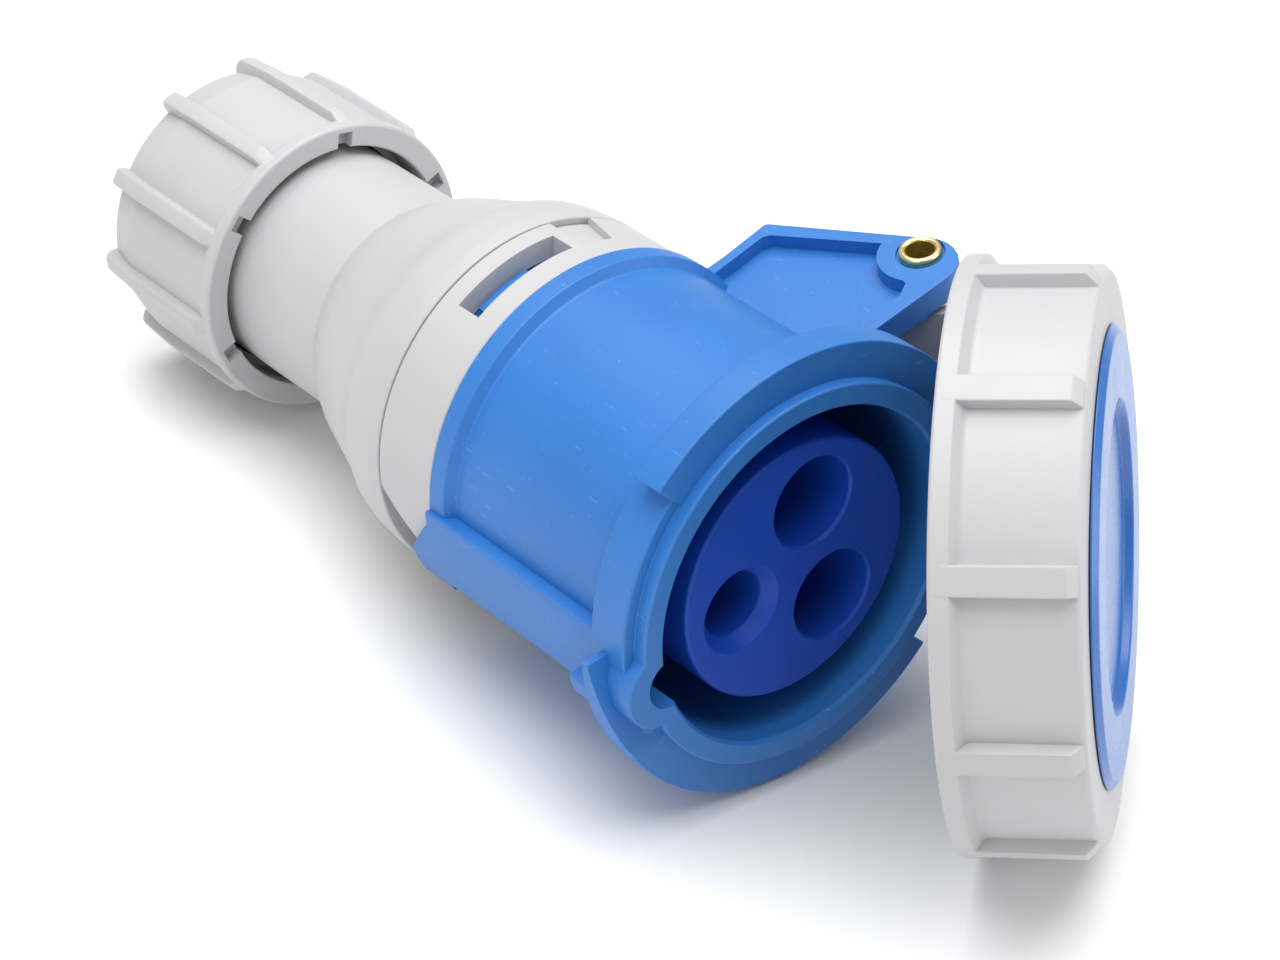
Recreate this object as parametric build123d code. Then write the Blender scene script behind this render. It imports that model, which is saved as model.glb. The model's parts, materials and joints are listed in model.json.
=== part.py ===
"""Blue 16 A, two pole and earth cable coupler with a hinged cap and a bayonet ring.

Every piece is drawn in the coupler's own axes: x runs along the mating axis and is zero on
the front face of the mouth, y points from the axis to the hinge of the cap, and z is the
direction of the hinge pin. Angles about the mating axis start at y and turn towards z.
The finished assembly is then leant over until it lies on the floor on its flange, its gland
nut and the rim of the opened cap. All lengths are millimetres and all angles are degrees.
"""
import math
import os

from build123d import *

# Clearances
seat_gap = 0.05
turning_gap = 0.25
hinge_gap = 0.08
slide_gap = 0.3
swing_gap = 0.3

# How far a cutting shape reaches past the piece it cuts
cut_reach = 1.0

# Mouth, collar and barrel of the front housing
bore_radius = 22.55
bore_depth = 36.0
lip_wall = 3.05
lip_length = 1.9
collar_height = 2.85
collar_length = 6.0
barrel_wall = 1.9
mouth_chamfer = 0.35
ledge_radius = 17.95
ledge_thickness = 2.5
skirt_wall = 1.6
skirt_play = 0.2
skirt_length = 12.4
rear_flange_height = 1.35
rear_flange_width = 2.9
rear_flange_slope = 1.0
housing_length = 41.6

# Bayonet flange of the housing, two segments behind the lip
flange_height = 5.85
flange_front = 1.6
flange_width = 4.6
upper_flange_angles = (20.0, 123.4)
lower_flange_angles = (170.0, 303.0)
ramp_depth = 3.4
ramp_angle = 25.0
nub_angles = (181.0, 187.0)
nub_height = 4.85
nub_start = 8.0
nub_length = 3.0

# Keyway and the rib that covers it
key_angle = 181.3
key_centre_inset = 0.45
key_radius = 3.48
key_bulge_radius = 5.6
key_bulge_offset = 1.0
key_rib_height = 2.1
key_rib_half_angle = 14.0
tongue_length = 5.2
tongue_angles = (173.0, 197.0)
tongue_slant_angle = 14.0

# Snap lugs on the skirt, seen through the windows of the locking collar
lug_count = 3
lug_angles = (87.0, 107.0)
lug_height = 0.9
lug_root = 0.8

# Hinge block
hinge_x = -21.4
hinge_rise = 16.5
pin_lean = 3.3
block_half_width = 12.3
block_front = 15.1
block_cover = 4.225
block_rear_slope = 0.6
block_top_angle = 29.6
block_nose_radius = 5.0
block_slot_half_width = 8.7
block_slot_floor = 27.6
block_slot_top = 60.0
pocket_depth = 2.0
pocket_boss_radius = 5.6
pocket_rear_rim = 1.3
pocket_roof_rim = 1.4
pocket_rear_slant = 0.7
pocket_roof_bevel = (0.4, 1.0)
pocket_foot = 17.6
pocket_front = ((-17.4, 41.3), (-17.7, 34.1), (-17.4, 17.6))
nose_wedge = ((-25.3, 41.7), (-15.1, 33.7), (-15.1, 49.7), (-25.3, 49.7))

# Hollow rivet and spring of the hinge
rivet_radius = 2.3
rivet_bore_radius = 1.9
rivet_head_radius = 2.75
rivet_head_height = 0.75
rivet_head_rounding = 0.5
rivet_sink = 0.45
rivet_sink_radius = 3.2
spring_wire = 0.8
spring_mean_radius = 3.6
spring_turns = 3
spring_bends_per_turn = 12
spring_leg_length = 3.7

# Contact insert
insert_radius = 17.7
insert_front = 2.5
insert_flange_radius = 20.2
insert_flange_width = 2.5
insert_edge = 0.35
contact_circle_radius = 8.95
power_angles = (60.0, -60.0)
earth_angle = 180.0
power_well_radius = 6.2
power_well_depth = 9.5
power_neck_radius = 3.3
earth_mouth_radius = 5.8
earth_neck_radius = 4.25
earth_mouth_depth = 3.5
neck_end = 14.0
centre_mark_radius = 0.8
centre_mark_depth = 0.5

# Contacts and their terminals
power_bore_radius = 2.55
earth_bore_radius = 3.55
contact_wall = 1.05
shoulder_overhang = 1.0
shoulder_width = 1.6
contact_bore_depth = 21.7
contact_slot_width = 0.6
contact_slot_length = 15.0
terminal_length = 13.5
terminal_extra_radius = 0.6
terminal_root = 0.5
wire_hole_radius = 1.9
wire_hole_depth = 10.5
spring_ring_offset = 2.7
spring_ring_width = 1.6
spring_ring_thickness = 0.5
spring_ring_opening = 30.0
terminal_screw_radius = 1.45
terminal_screw_head_radius = 2.1
terminal_screw_head_height = 1.9
terminal_screw_pitch = 4.6
screw_slot_width = 0.5
screw_slot_depth = 0.7

# Retainer behind the insert
retainer_thickness = 2.9
retainer_screw_circle = 14.2
retainer_screw_count = 3
retainer_screw_radius = 1.4
retainer_screw_length = 7.0
retainer_screw_head_radius = 2.5
retainer_screw_head_height = 1.8

# Locking collar
locking_wall = 3.1
locking_length = 10.7
locking_lip_width = 1.1
hook_height = 1.8
hook_neck_height = 0.9
hook_width = 0.8
window_angles = (75.0, 110.8)
window_offset = 3.9
window_length = 4.0
notch_depth = 2.0
notches = ((55.9, 60.3, 71.0, 3.9), (171.5, 186.7, 201.0, 5.1), (290.0, 296.0, 308.0, 3.9))

# Rear sleeve
sleeve_backs = (2.2, 7.1, 11.2, 18.4, 21.2, 23.4, 25.5, 26.5)
sleeve_radii = (25.4, 24.9, 22.95, 20.5, 19.5, 18.5, 17.1, 16.4)
neck_radius = 16.4
neck_length = 32.7
neck_wall = 2.9
neck_taper_length = 11.0
neck_taper_overlap = 4.0
spigot_wall = 2.6
seal_section_radius = 0.9
seal_groove_offset = 7.8
seal_groove_width = 2.1

# Gland nut, clamp cage and grommet
nut_offset = 18.0
nut_radius = 20.5
nut_rim_radius = 21.0
nut_rim_width = 2.0
nut_length = 26.2
nut_mouth_radius = 17.7
nut_mouth_depth = 6.0
nut_shoulder_offset = 18.2
nut_tail_radius = 18.6
nut_edge = 1.0
nut_entry_radius = 10.4
nut_tip_play = 0.4
nut_seat_play = 1.4
nut_rib_count = 10
nut_rib_angle = 29.5
nut_rib_radius = 22.0
nut_rib_foot_radius = 20.8
nut_rib_root = 2.0
nut_rib_lead = 2.0
nut_rib_nose = ((1.0, 21.5), (0.2, 20.3), (0.6, 17.1))
nut_rib_width = 2.6
nut_rib_start = 1.2
nut_notch_count = 6
nut_notch_angle = 8.0
nut_notch_width = 2.3
nut_notch_depth = 1.6
nut_notch_rim = 1.0
cage_wall = 2.3
cage_flange_width = 1.4
cage_flange_overhang = 0.5
cage_body_length = 11.0
cage_finger_length = 5.6
cage_finger_tip = 1.3
cage_finger_root = 0.8
cage_finger_count = 10
cage_slot_width = 1.3
grommet_bore_radius = 5.5
grommet_length = 15.0
grommet_chamfer = 1.0

# Cap: inner carrier, disc, gasket
disc_radius = 27.8
disc_thickness = 0.95
disc_bevel = 0.8
disc_front = 5.95
disc_hub_radius = 26.5
disc_hub_depth = 1.1
disc_recess_radius = 19.0
disc_recess_depth = 1.3
disc_recess_draft = 0.4
carrier_play = 0.6
carrier_thickness = 1.4
gasket_radius = 26.2
gasket_width = 4.4
gasket_thickness = 1.5
gasket_wall = 1.1
gasket_squeeze_gap = 0.3
arm_half_width = 7.6
arm_plate_half_width = 6.5
arm_plate_thickness = 2.5
arm_knuckle_radius = 5.2
arm_rear = (-24.5, 33.5)
arm_heel = (-17.2, 35.5)
arm_leg_gap = 0.4
arm_step = 0.5
arm_shoulder = (7.7, 4.6, 2.0)
arm_back = (4.9, 1.5)
arm_taper_below = 5.0
arm_taper_height = 7.8
knuckle_room = 0.5
knuckle_top = 4.4

# Bayonet ring
ring_rim_height = 1.75
ring_rim_rear = 12.2
ring_rim_width = 2.4
ring_wall = 1.85
ring_root_length = 1.2
ring_front = 4.85
ring_front_wall = 1.4
ring_edge = 0.6
ring_draft = 1.4
ring_play = 0.9
ring_draft_length = 7.9
ring_hole_gap = 0.4
ring_rib_count = 10
ring_rib_angle = 67.5
ring_rib_width = 3.6
ring_rib_end = 4.45
ring_rib_slope = 1.0
ring_rib_root = 1.0
ring_rib_step = 0.2
ring_lug_hold = 1.0
ring_lug_angles = (146.7, 326.7)
ring_lug_half_angle = 15.0
ring_lug_width = 2.7
ring_lug_inset = 0.2
ring_lug_root = 0.8

# How far the cap stands open
open_angle = 39.85

# Radii that follow from the sizes above
barrel_radius = bore_radius + barrel_wall
lip_radius = bore_radius + lip_wall
collar_radius = barrel_radius + collar_height
rear_flange_radius = barrel_radius + rear_flange_height
flange_radius = barrel_radius + flange_height
nub_radius = barrel_radius + nub_height
key_rib_radius = barrel_radius + key_rib_height
key_centre_radius = bore_radius - key_centre_inset
skirt_inner_radius = insert_flange_radius + skirt_play
skirt_outer_radius = skirt_inner_radius + skirt_wall
locking_inner_radius = skirt_outer_radius + slide_gap
locking_outer_radius = locking_inner_radius + locking_wall
hook_radius = locking_inner_radius + hook_height
hook_neck_radius = locking_inner_radius + hook_neck_height
ring_inner_radius = flange_radius + ring_play
ring_mouth_radius = ring_inner_radius + ring_draft
ring_body_radius = ring_mouth_radius + ring_wall
ring_rim_radius = ring_body_radius + ring_rim_height
ring_lug_radius = flange_radius - ring_lug_hold
carrier_radius = ring_inner_radius - carrier_play

# Places that follow from the sizes above
collar_end = lip_length + collar_length
ledge_rear = bore_depth + ledge_thickness
insert_rear = ledge_rear + insert_flange_width
skirt_end = housing_length + skirt_length
retainer_rear = insert_rear + retainer_thickness
hinge_y = barrel_radius + hinge_rise
block_slope = math.tan(math.radians(block_top_angle))
block_rear_height = hinge_y + block_cover - (housing_length + hinge_x) * block_slope
hinge_place = Pos(hinge_x, hinge_y, 0) * Rot(-pin_lean, 0, 0)
swing = hinge_place * Rot(0, 0, open_angle) * hinge_place.inverse()
arm_leg_front = ring_rim_rear + arm_leg_gap
block_slot_rear = arm_knuckle_radius + slide_gap - hinge_x
locking_front = housing_length + turning_gap
locking_rear = locking_front + locking_length
sleeve_front = locking_rear + turning_gap
window_front = housing_length + window_offset
seal_groove_start = housing_length + seal_groove_offset
neck_front = sleeve_front + sleeve_backs[-1]
neck_rear = neck_front + neck_length
nut_front = neck_front + nut_offset
nut_shoulder = nut_front + nut_shoulder_offset
grommet_front = neck_rear - cage_body_length - 1.0
nut_rear = nut_front + nut_length
full_turn = 360.0


def outline(points):
    """Flat face inside a closed run of straight lines."""
    return make_face(Polyline(*points, close=True))


def outline_in(plane, points):
    """Flat face inside a closed run of straight lines, laid in a plane."""
    return plane * outline(points)


def turned(points):
    """Solid turned about the mating axis from (distance behind the mouth, radius) points."""
    return revolve(outline([(-back, radius) for back, radius in points]), Axis.X)


def sector(points, start, end):
    """Part of such a turned solid between two angles."""
    face = outline([(-back, radius) for back, radius in points])
    return Rot(start, 0, 0) * revolve(face, Axis.X, end - start)


def band(rear, front, inner, outer, start, end):
    """Sector of a plain tube between two angles."""
    return sector(((rear, inner), (rear, outer), (front, outer), (front, inner)), start, end)


def rod(radius, rear, front):
    """Cylinder on the mating axis between two distances behind the mouth."""
    return Pos(-(rear + front) / 2, 0, 0) * Rot(0, 90, 0) * Cylinder(radius, rear - front)


def upright(radius, low, high):
    """Cylinder along z between two heights."""
    return Pos(0, 0, (low + high) / 2) * Cylinder(radius, abs(high - low))


def pin(radius, low, high):
    """Cylinder on the leaning axis of the hinge between two heights."""
    return hinge_place * upright(radius, low, high)


def on_circle(radius, angle):
    """Placement at a radius and angle about the mating axis, turned to face outwards."""
    return Rot(angle, 0, 0) * Pos(0, radius, 0)


def slab(points, low, high):
    """Plate with its outline in the x-y plane between two heights."""
    return Pos(0, 0, low) * extrude(outline(points), high - low)


def ramp_cut():
    """Wedge that leaves the lower flange segment with a lead-in at its first end."""
    length = flange_radius * math.radians(ramp_angle)
    plane = Plane(origin=(0, collar_radius, 0), x_dir=(1, 0, 0), z_dir=(0, 1, 0))
    face = make_face(Polyline((-flange_front - ramp_depth, 0), (-flange_front + cut_reach, 0),
                              (-flange_front + cut_reach, -length),
                              (-flange_front, -length), close=True))
    return Rot(lower_flange_angles[0], 0, 0) * extrude(plane * face, flange_radius)


def bayonet_flange():
    """Two flange segments that the lugs of the ring pull against."""
    rear = flange_front + flange_width
    upper = band(rear, flange_front, barrel_radius - cut_reach, flange_radius, *upper_flange_angles)
    lower = band(rear, flange_front, barrel_radius - cut_reach, flange_radius, *lower_flange_angles)
    nub = band(nub_start + nub_length, nub_start - cut_reach, barrel_radius - cut_reach, nub_radius,
               *nub_angles)
    return upper + (lower - ramp_cut()) + nub


def key_rib():
    """Rib along the barrel over the keyway, with a tongue that reaches over the locking collar."""
    rib = band(housing_length, collar_end - cut_reach, barrel_radius - cut_reach, key_rib_radius,
               key_angle - key_rib_half_angle, key_angle + key_rib_half_angle)
    inner = locking_outer_radius + slide_gap
    tongue = band(housing_length + tongue_length, housing_length - cut_reach, inner, key_rib_radius,
                  *tongue_angles)
    length = key_rib_radius * math.radians(tongue_slant_angle)
    plane = Plane(origin=(0, inner - cut_reach, 0), x_dir=(1, 0, 0), z_dir=(0, 1, 0))
    root, end = -housing_length - slide_gap, -housing_length - tongue_length
    corner = make_face(Polyline((root, cut_reach), (end - cut_reach, cut_reach),
                                (end - cut_reach, -length), (end, -length),
                                (root, 0), close=True))
    tongue -= Rot(tongue_angles[0], 0, 0) * extrude(plane * corner, key_rib_radius)
    return rib + tongue


def block_outline():
    """Side view of the hinge block, with its nose rounded about the hinge."""
    top = block_rear_height + (housing_length - block_front) * block_slope
    points = ((-housing_length, 0), (-housing_length, rear_flange_radius),
              (-housing_length - block_rear_slope, block_rear_height), (-block_front, top),
              (-block_front, 0))
    face = outline(points)
    nose = face.vertices().sort_by(Axis.Y)[-1]
    return fillet(nose, block_nose_radius)


def block_pocket(side):
    """Shallow pocket in one cheek of the hinge block, bounded by the boss of the rivet."""
    rear = -housing_length + pocket_rear_rim
    roof = block_rear_height - pocket_roof_rim
    points = ((rear + pocket_rear_slant, pocket_foot), (rear, roof - pocket_roof_bevel[1]),
              (rear + pocket_roof_bevel[0], roof),
              (hinge_x, roof + (hinge_x - rear) * block_slope)) + pocket_front
    reach = block_half_width + cut_reach
    pocket = slab(points, block_half_width - pocket_depth, reach) - slab(nose_wedge, 0, reach)
    if side < 0:
        pocket = mirror(pocket, about=Plane.XY)
    return pocket - pin(pocket_boss_radius, 0, side * reach)


def hinge_block():
    """Two ears on the barrel that carry the cap, joined behind the slot for the arm."""
    block = Pos(0, 0, -block_half_width) * extrude(block_outline(), 2 * block_half_width)
    block -= slab(((-block_slot_rear, block_slot_floor), (0, block_slot_floor), (0, block_slot_top),
                   (-block_slot_rear, block_slot_top)), -block_slot_half_width, block_slot_half_width)
    reach = block_half_width + cut_reach
    block -= pin(rivet_radius + seat_gap, -reach, reach)
    for side in (1, -1):
        block -= block_pocket(side)
        block -= pin(rivet_sink_radius, side * (block_half_width - rivet_sink), side * reach)
    return block - rod((bore_radius + barrel_radius) / 2, housing_length + 2 * cut_reach, -cut_reach)


def front_housing():
    """Blue moulding: mouth, collar, barrel, bayonet flange, keyway, hinge block and skirt."""
    slope_start = housing_length - rear_flange_width
    shell = turned((
        (skirt_end, skirt_inner_radius), (skirt_end, skirt_outer_radius),
                    (housing_length, skirt_outer_radius),
        (housing_length, rear_flange_radius), (slope_start, rear_flange_radius),
        (slope_start - rear_flange_slope, barrel_radius), (collar_end, barrel_radius),
                    (collar_end, collar_radius),
        (lip_length, collar_radius), (lip_length, lip_radius), (0, lip_radius),
                    (0, bore_radius + mouth_chamfer),
        (mouth_chamfer, bore_radius), (bore_depth, bore_radius), (bore_depth, ledge_radius),
        (ledge_rear, ledge_radius), (ledge_rear, skirt_inner_radius)))
    bulge = on_circle(key_centre_radius + key_bulge_offset, key_angle) * rod(key_bulge_radius,
                                                                             collar_end, 0)
    keyway = on_circle(key_centre_radius, key_angle) * rod(key_radius, bore_depth, -cut_reach)
    bore = rod(bore_radius, bore_depth, -cut_reach)
    rear_room = rod(skirt_inner_radius, skirt_end, ledge_rear)
    housing = shell + bayonet_flange() + key_rib() + hinge_block() + (bulge - bore) - keyway - rear_room
    lug_rear = window_front + window_length - slide_gap
    lug = band(lug_rear, window_front + slide_gap, skirt_outer_radius - lug_root,
               skirt_outer_radius + lug_height, *lug_angles)
    for index in range(lug_count):
        housing += Rot(index * full_turn / lug_count, 0, 0) * lug
    return housing


def contact_radii(bore):
    """Outer radii of a contact tube and of its shoulder."""
    tube = bore + contact_wall
    return tube, tube + shoulder_overhang


def contact_insert():
    """Dark blue moulding with the three contact wells."""
    insert = turned(((insert_rear, 0), (insert_rear, insert_flange_radius),
                     (ledge_rear, insert_flange_radius),
                     (ledge_rear, insert_radius), (insert_front + insert_edge, insert_radius),
                     (insert_front, insert_radius - insert_edge), (insert_front, 0)))
    for angle in power_angles:
        insert -= on_circle(contact_circle_radius, angle) * power_well()
    insert -= on_circle(contact_circle_radius, earth_angle) * earth_well()
    insert -= rod(centre_mark_radius, insert_front + centre_mark_depth, 0)
    for angle in screw_angles():
        hole = rod(retainer_screw_radius + seat_gap, insert_rear + cut_reach,
                   retainer_rear - retainer_screw_length - cut_reach)
        insert -= on_circle(retainer_screw_circle, angle) * hole
    return insert


def contact_seat(bore):
    """Hole that a contact fills from behind: room for its tube and its shoulder."""
    tube, shoulder = contact_radii(bore)
    seat = rod(tube + turning_gap, insert_rear + cut_reach, neck_end)
    return seat + rod(shoulder + seat_gap, insert_rear + cut_reach, insert_rear - shoulder_width)


def power_well():
    """Wide well of a line or neutral contact, with a neck that guides the plug pin."""
    floor = insert_front + power_well_depth
    well = rod(power_well_radius, floor, 0) + rod(power_neck_radius, neck_end + cut_reach,
                                                  floor - cut_reach)
    return well + contact_seat(power_bore_radius)


def earth_well():
    """Earth entry, which narrows like a funnel to its neck."""
    throat = insert_front + earth_mouth_depth
    funnel = turned(((insert_front, 0), (insert_front, earth_mouth_radius), (throat, earth_neck_radius),
                     (neck_end + cut_reach, earth_neck_radius), (neck_end + cut_reach, 0)))
    return funnel + rod(earth_mouth_radius, insert_front, 0) + contact_seat(earth_bore_radius)


def contact(bore):
    """Turned brass contact: slotted tube, shoulder and screw terminal."""
    tube, shoulder = contact_radii(bore)
    front = neck_end + slide_gap
    seat = insert_rear - shoulder_width
    body = rod(tube, insert_rear, front) + rod(shoulder, insert_rear, seat)
    body += rod(tube + terminal_extra_radius, insert_rear + terminal_length, insert_rear - terminal_root)
    body -= rod(bore, front + contact_bore_depth, front - cut_reach)
    end = insert_rear + terminal_length
    body -= rod(wire_hole_radius, end + cut_reach, end - wire_hole_depth)
    groove = front + spring_ring_offset
    body -= turned(((groove + spring_ring_width + seat_gap, tube - spring_ring_thickness),
                    (groove + spring_ring_width + seat_gap, tube + cut_reach), (groove, tube + cut_reach),
                    (groove, tube - spring_ring_thickness)))
    slot_centre = Pos((cut_reach - contact_slot_length) / 2 - front, 0, 0)
    slot = slot_centre * Box(contact_slot_length + cut_reach, 2 * tube + cut_reach, contact_slot_width)
    body -= slot + Rot(90, 0, 0) * slot
    for place in terminal_screw_places():
        hole = upright(terminal_screw_radius + seat_gap, 0, 2 * shoulder)
        body -= Pos(-place, 0, 0) * Rot(-90, 0, 0) * hole
    return body


def terminal_screw_places():
    """Distances behind the mouth of the two screws of a terminal."""
    first = retainer_rear + terminal_screw_head_radius + slide_gap
    return [first + index * terminal_screw_pitch for index in range(2)]


def spring_ring(bore):
    """Split steel ring that keeps the slotted tube closed on the plug pin."""
    tube = contact_radii(bore)[0]
    start = neck_end + slide_gap + spring_ring_offset + seat_gap / 2
    inner = tube - spring_ring_thickness + seat_gap / 2
    half_opening = spring_ring_opening / 2
    return band(start + spring_ring_width, start, inner, tube + seat_gap / 2, half_opening,
                full_turn - half_opening)


def terminal_screws(bore):
    """Two clamping screws of one terminal, heads outwards."""
    tube = contact_radii(bore)[0] + terminal_extra_radius
    screws = []
    for place in terminal_screw_places():
        shank_base = wire_hole_radius + seat_gap
        shank = Pos(0, 0, (shank_base + tube) / 2) * Cylinder(terminal_screw_radius, tube - shank_base)
        head_centre = tube + terminal_screw_head_height / 2
        head = Pos(0, 0, head_centre) * Cylinder(terminal_screw_head_radius, terminal_screw_head_height)
        cut_height = tube + terminal_screw_head_height
        cut = Pos(0, 0, cut_height) * Box(screw_slot_width, 5 * terminal_screw_radius,
                                          2 * screw_slot_depth)
        screws.append(Pos(-place, 0, 0) * Rot(-90, 0, 0) * (shank + head - cut))
    return Compound(screws)


def screw_angles():
    """Angles of the retainer screws, between the contacts."""
    return [index * full_turn / retainer_screw_count for index in range(retainer_screw_count)]


def contact_retainer():
    """Plate that holds the three contacts in the insert."""
    plate = rod(insert_flange_radius - seat_gap, retainer_rear, insert_rear)
    rear, front = retainer_rear + cut_reach, insert_rear - cut_reach
    power_hole = rod(contact_radii(power_bore_radius)[0] + terminal_extra_radius + seat_gap, rear, front)
    earth_hole = rod(contact_radii(earth_bore_radius)[0] + terminal_extra_radius + seat_gap, rear, front)
    for angle in power_angles:
        plate -= on_circle(contact_circle_radius, angle) * power_hole
    plate -= on_circle(contact_circle_radius, earth_angle) * earth_hole
    for angle in screw_angles():
        hole = rod(retainer_screw_radius + seat_gap, rear, front)
        plate -= on_circle(retainer_screw_circle, angle) * hole
    return plate


def retainer_screws():
    """Screws through the retainer into the insert."""
    head = rod(retainer_screw_head_radius, retainer_rear + retainer_screw_head_height, retainer_rear)
    shank = rod(retainer_screw_radius, retainer_rear, retainer_rear - retainer_screw_length)
    cut_place = -retainer_rear - retainer_screw_head_height
    cut = Pos(cut_place, 0, 0) * Box(2 * screw_slot_depth, 6 * retainer_screw_radius, screw_slot_width)
    screw = head + shank - cut
    return Compound([on_circle(retainer_screw_circle, angle) * screw for angle in screw_angles()])


def hook_front():
    """Distance behind the mouth of the front of the sleeve's hook."""
    return locking_rear - locking_lip_width - turning_gap - hook_width


def locking_collar():
    """Grey band that turns to lock the housing to the sleeve, with three windows and three notches."""
    recess_front = hook_front() - turning_gap
    inner = locking_inner_radius
    lip_front = locking_rear - locking_lip_width
    collar = turned(((locking_front, inner), (locking_front, locking_outer_radius),
                     (locking_rear, locking_outer_radius),
                     (locking_rear, hook_neck_radius + turning_gap),
                     (lip_front, hook_neck_radius + turning_gap),
                     (lip_front, hook_radius + turning_gap), (recess_front, hook_radius + turning_gap),
                     (recess_front, inner)))
    window = band(window_front + window_length, window_front, inner - cut_reach,
                  locking_outer_radius + cut_reach,
                  *window_angles)
    for index in range(lug_count):
        collar -= Rot(index * full_turn / lug_count, 0, 0) * window
    for notch in notches:
        collar -= collar_notch(*notch)
    return collar


def collar_notch(rear_angle, front_angle, end_angle, offset):
    """Recess in the rear of the locking collar, with one slanted wall."""
    front = housing_length + offset
    floor = locking_outer_radius - notch_depth
    cut = band(locking_rear + cut_reach, front, floor, locking_outer_radius + cut_reach, rear_angle,
               end_angle)
    slant = locking_outer_radius * math.radians(front_angle - rear_angle)
    plane = Plane(origin=(0, floor - cut_reach, 0), x_dir=(1, 0, 0), z_dir=(0, 1, 0))
    corner = make_face(Polyline((-front + cut_reach, cut_reach), (-locking_rear - cut_reach, cut_reach),
                                (-locking_rear, 0), (-front, -slant), (-front + cut_reach, -slant),
                                close=True))
    return cut - Rot(rear_angle, 0, 0) * extrude(plane * corner, notch_depth + 4 * cut_reach)


def rear_sleeve():
    """Grey sleeve behind the collar: spigot, hook, tapered shoulder and threaded neck."""
    spigot_radius = skirt_inner_radius - slide_gap
    spigot_inner = spigot_radius - spigot_wall
    socket_end = skirt_end + slide_gap
    hook_rear = hook_front() + hook_width
    neck_inner = neck_radius - neck_wall
    taper_start = neck_front + neck_taper_overlap - neck_taper_length
    outer = [(sleeve_front + back, radius) for back, radius in zip(sleeve_backs, sleeve_radii)]
    points = [(retainer_rear, spigot_inner), (retainer_rear, spigot_radius), (socket_end, spigot_radius),
              (socket_end, skirt_outer_radius + slide_gap),
              (hook_front(), skirt_outer_radius + slide_gap),
              (hook_front(), hook_radius), (hook_rear, hook_radius), (hook_rear, hook_neck_radius),
              (sleeve_front, hook_neck_radius), (sleeve_front, locking_outer_radius)]
    points += outer + [(neck_rear, neck_radius), (neck_rear, neck_inner),
                       (taper_start + neck_taper_length, neck_inner),
                       (taper_start, spigot_inner)]
    groove_floor = skirt_inner_radius - 2 * seal_section_radius - 2 * seat_gap
    groove_rear = seal_groove_start + seal_groove_width
    return turned(points) - band(groove_rear, seal_groove_start, groove_floor, spigot_radius + cut_reach,
                                 0, full_turn)


def sleeve_seal():
    """Rubber ring between the spigot of the sleeve and the skirt of the housing."""
    centre = skirt_inner_radius - seal_section_radius - seat_gap
    place = seal_groove_start + seal_groove_width / 2
    return Pos(-place, 0, 0) * Rot(0, 90, 0) * Torus(centre, seal_section_radius)


def cage_radii():
    """Bore and outer radius of the clamp cage inside the neck."""
    outer = neck_radius - neck_wall - slide_gap
    return outer - cage_wall, outer


def clamp_cage():
    """Ring of fingers that the nut presses onto the grommet."""
    inner, outer = cage_radii()
    flange_rear = neck_rear + cage_flange_width
    tip = flange_rear + cage_finger_length
    flange_radius_here = neck_radius - cage_flange_overhang
    cage = turned(((neck_rear - cage_body_length, inner), (neck_rear - cage_body_length, outer),
                   (neck_rear, outer),
                   (neck_rear, flange_radius_here), (flange_rear, flange_radius_here),
                   (flange_rear, outer + cage_finger_root),
                   (tip, inner + cage_finger_tip), (tip, inner)))
    slot_centre = Pos(-flange_rear - cage_finger_length / 2 - slide_gap, 0, 0)
    slot = slot_centre * Box(cage_finger_length, 4 * outer, cage_slot_width)
    for index in range(cage_finger_count // 2):
        cage -= Rot(index * full_turn / cage_finger_count, 0, 0) * slot
    return cage


def cable_grommet():
    """Rubber sleeve that seals on the cable."""
    radius = cage_radii()[0] - seat_gap
    rear = grommet_front + grommet_length
    return turned(((grommet_front, grommet_bore_radius + grommet_chamfer), (grommet_front, radius),
                   (rear, radius),
                   (rear, grommet_bore_radius + grommet_chamfer),
                   (rear - grommet_chamfer, grommet_bore_radius),
                   (grommet_front + grommet_chamfer, grommet_bore_radius)))


def nut_rib():
    """One grip rib of the gland nut, which ends in a blunt nose over the tapered tail."""
    half = nut_rib_width / 2
    start = nut_front + nut_rib_start
    points = ((-start, nut_radius - nut_rib_root), (-start, nut_rib_foot_radius),
              (-start - nut_rib_lead, nut_rib_radius),
              (-nut_shoulder, nut_rib_radius)) + tuple((-nut_rear + back, radius) for back,
                                                       radius in nut_rib_nose)
    return slab(points + ((-nut_shoulder, nut_radius - nut_rib_root),), -half, half)


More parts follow.
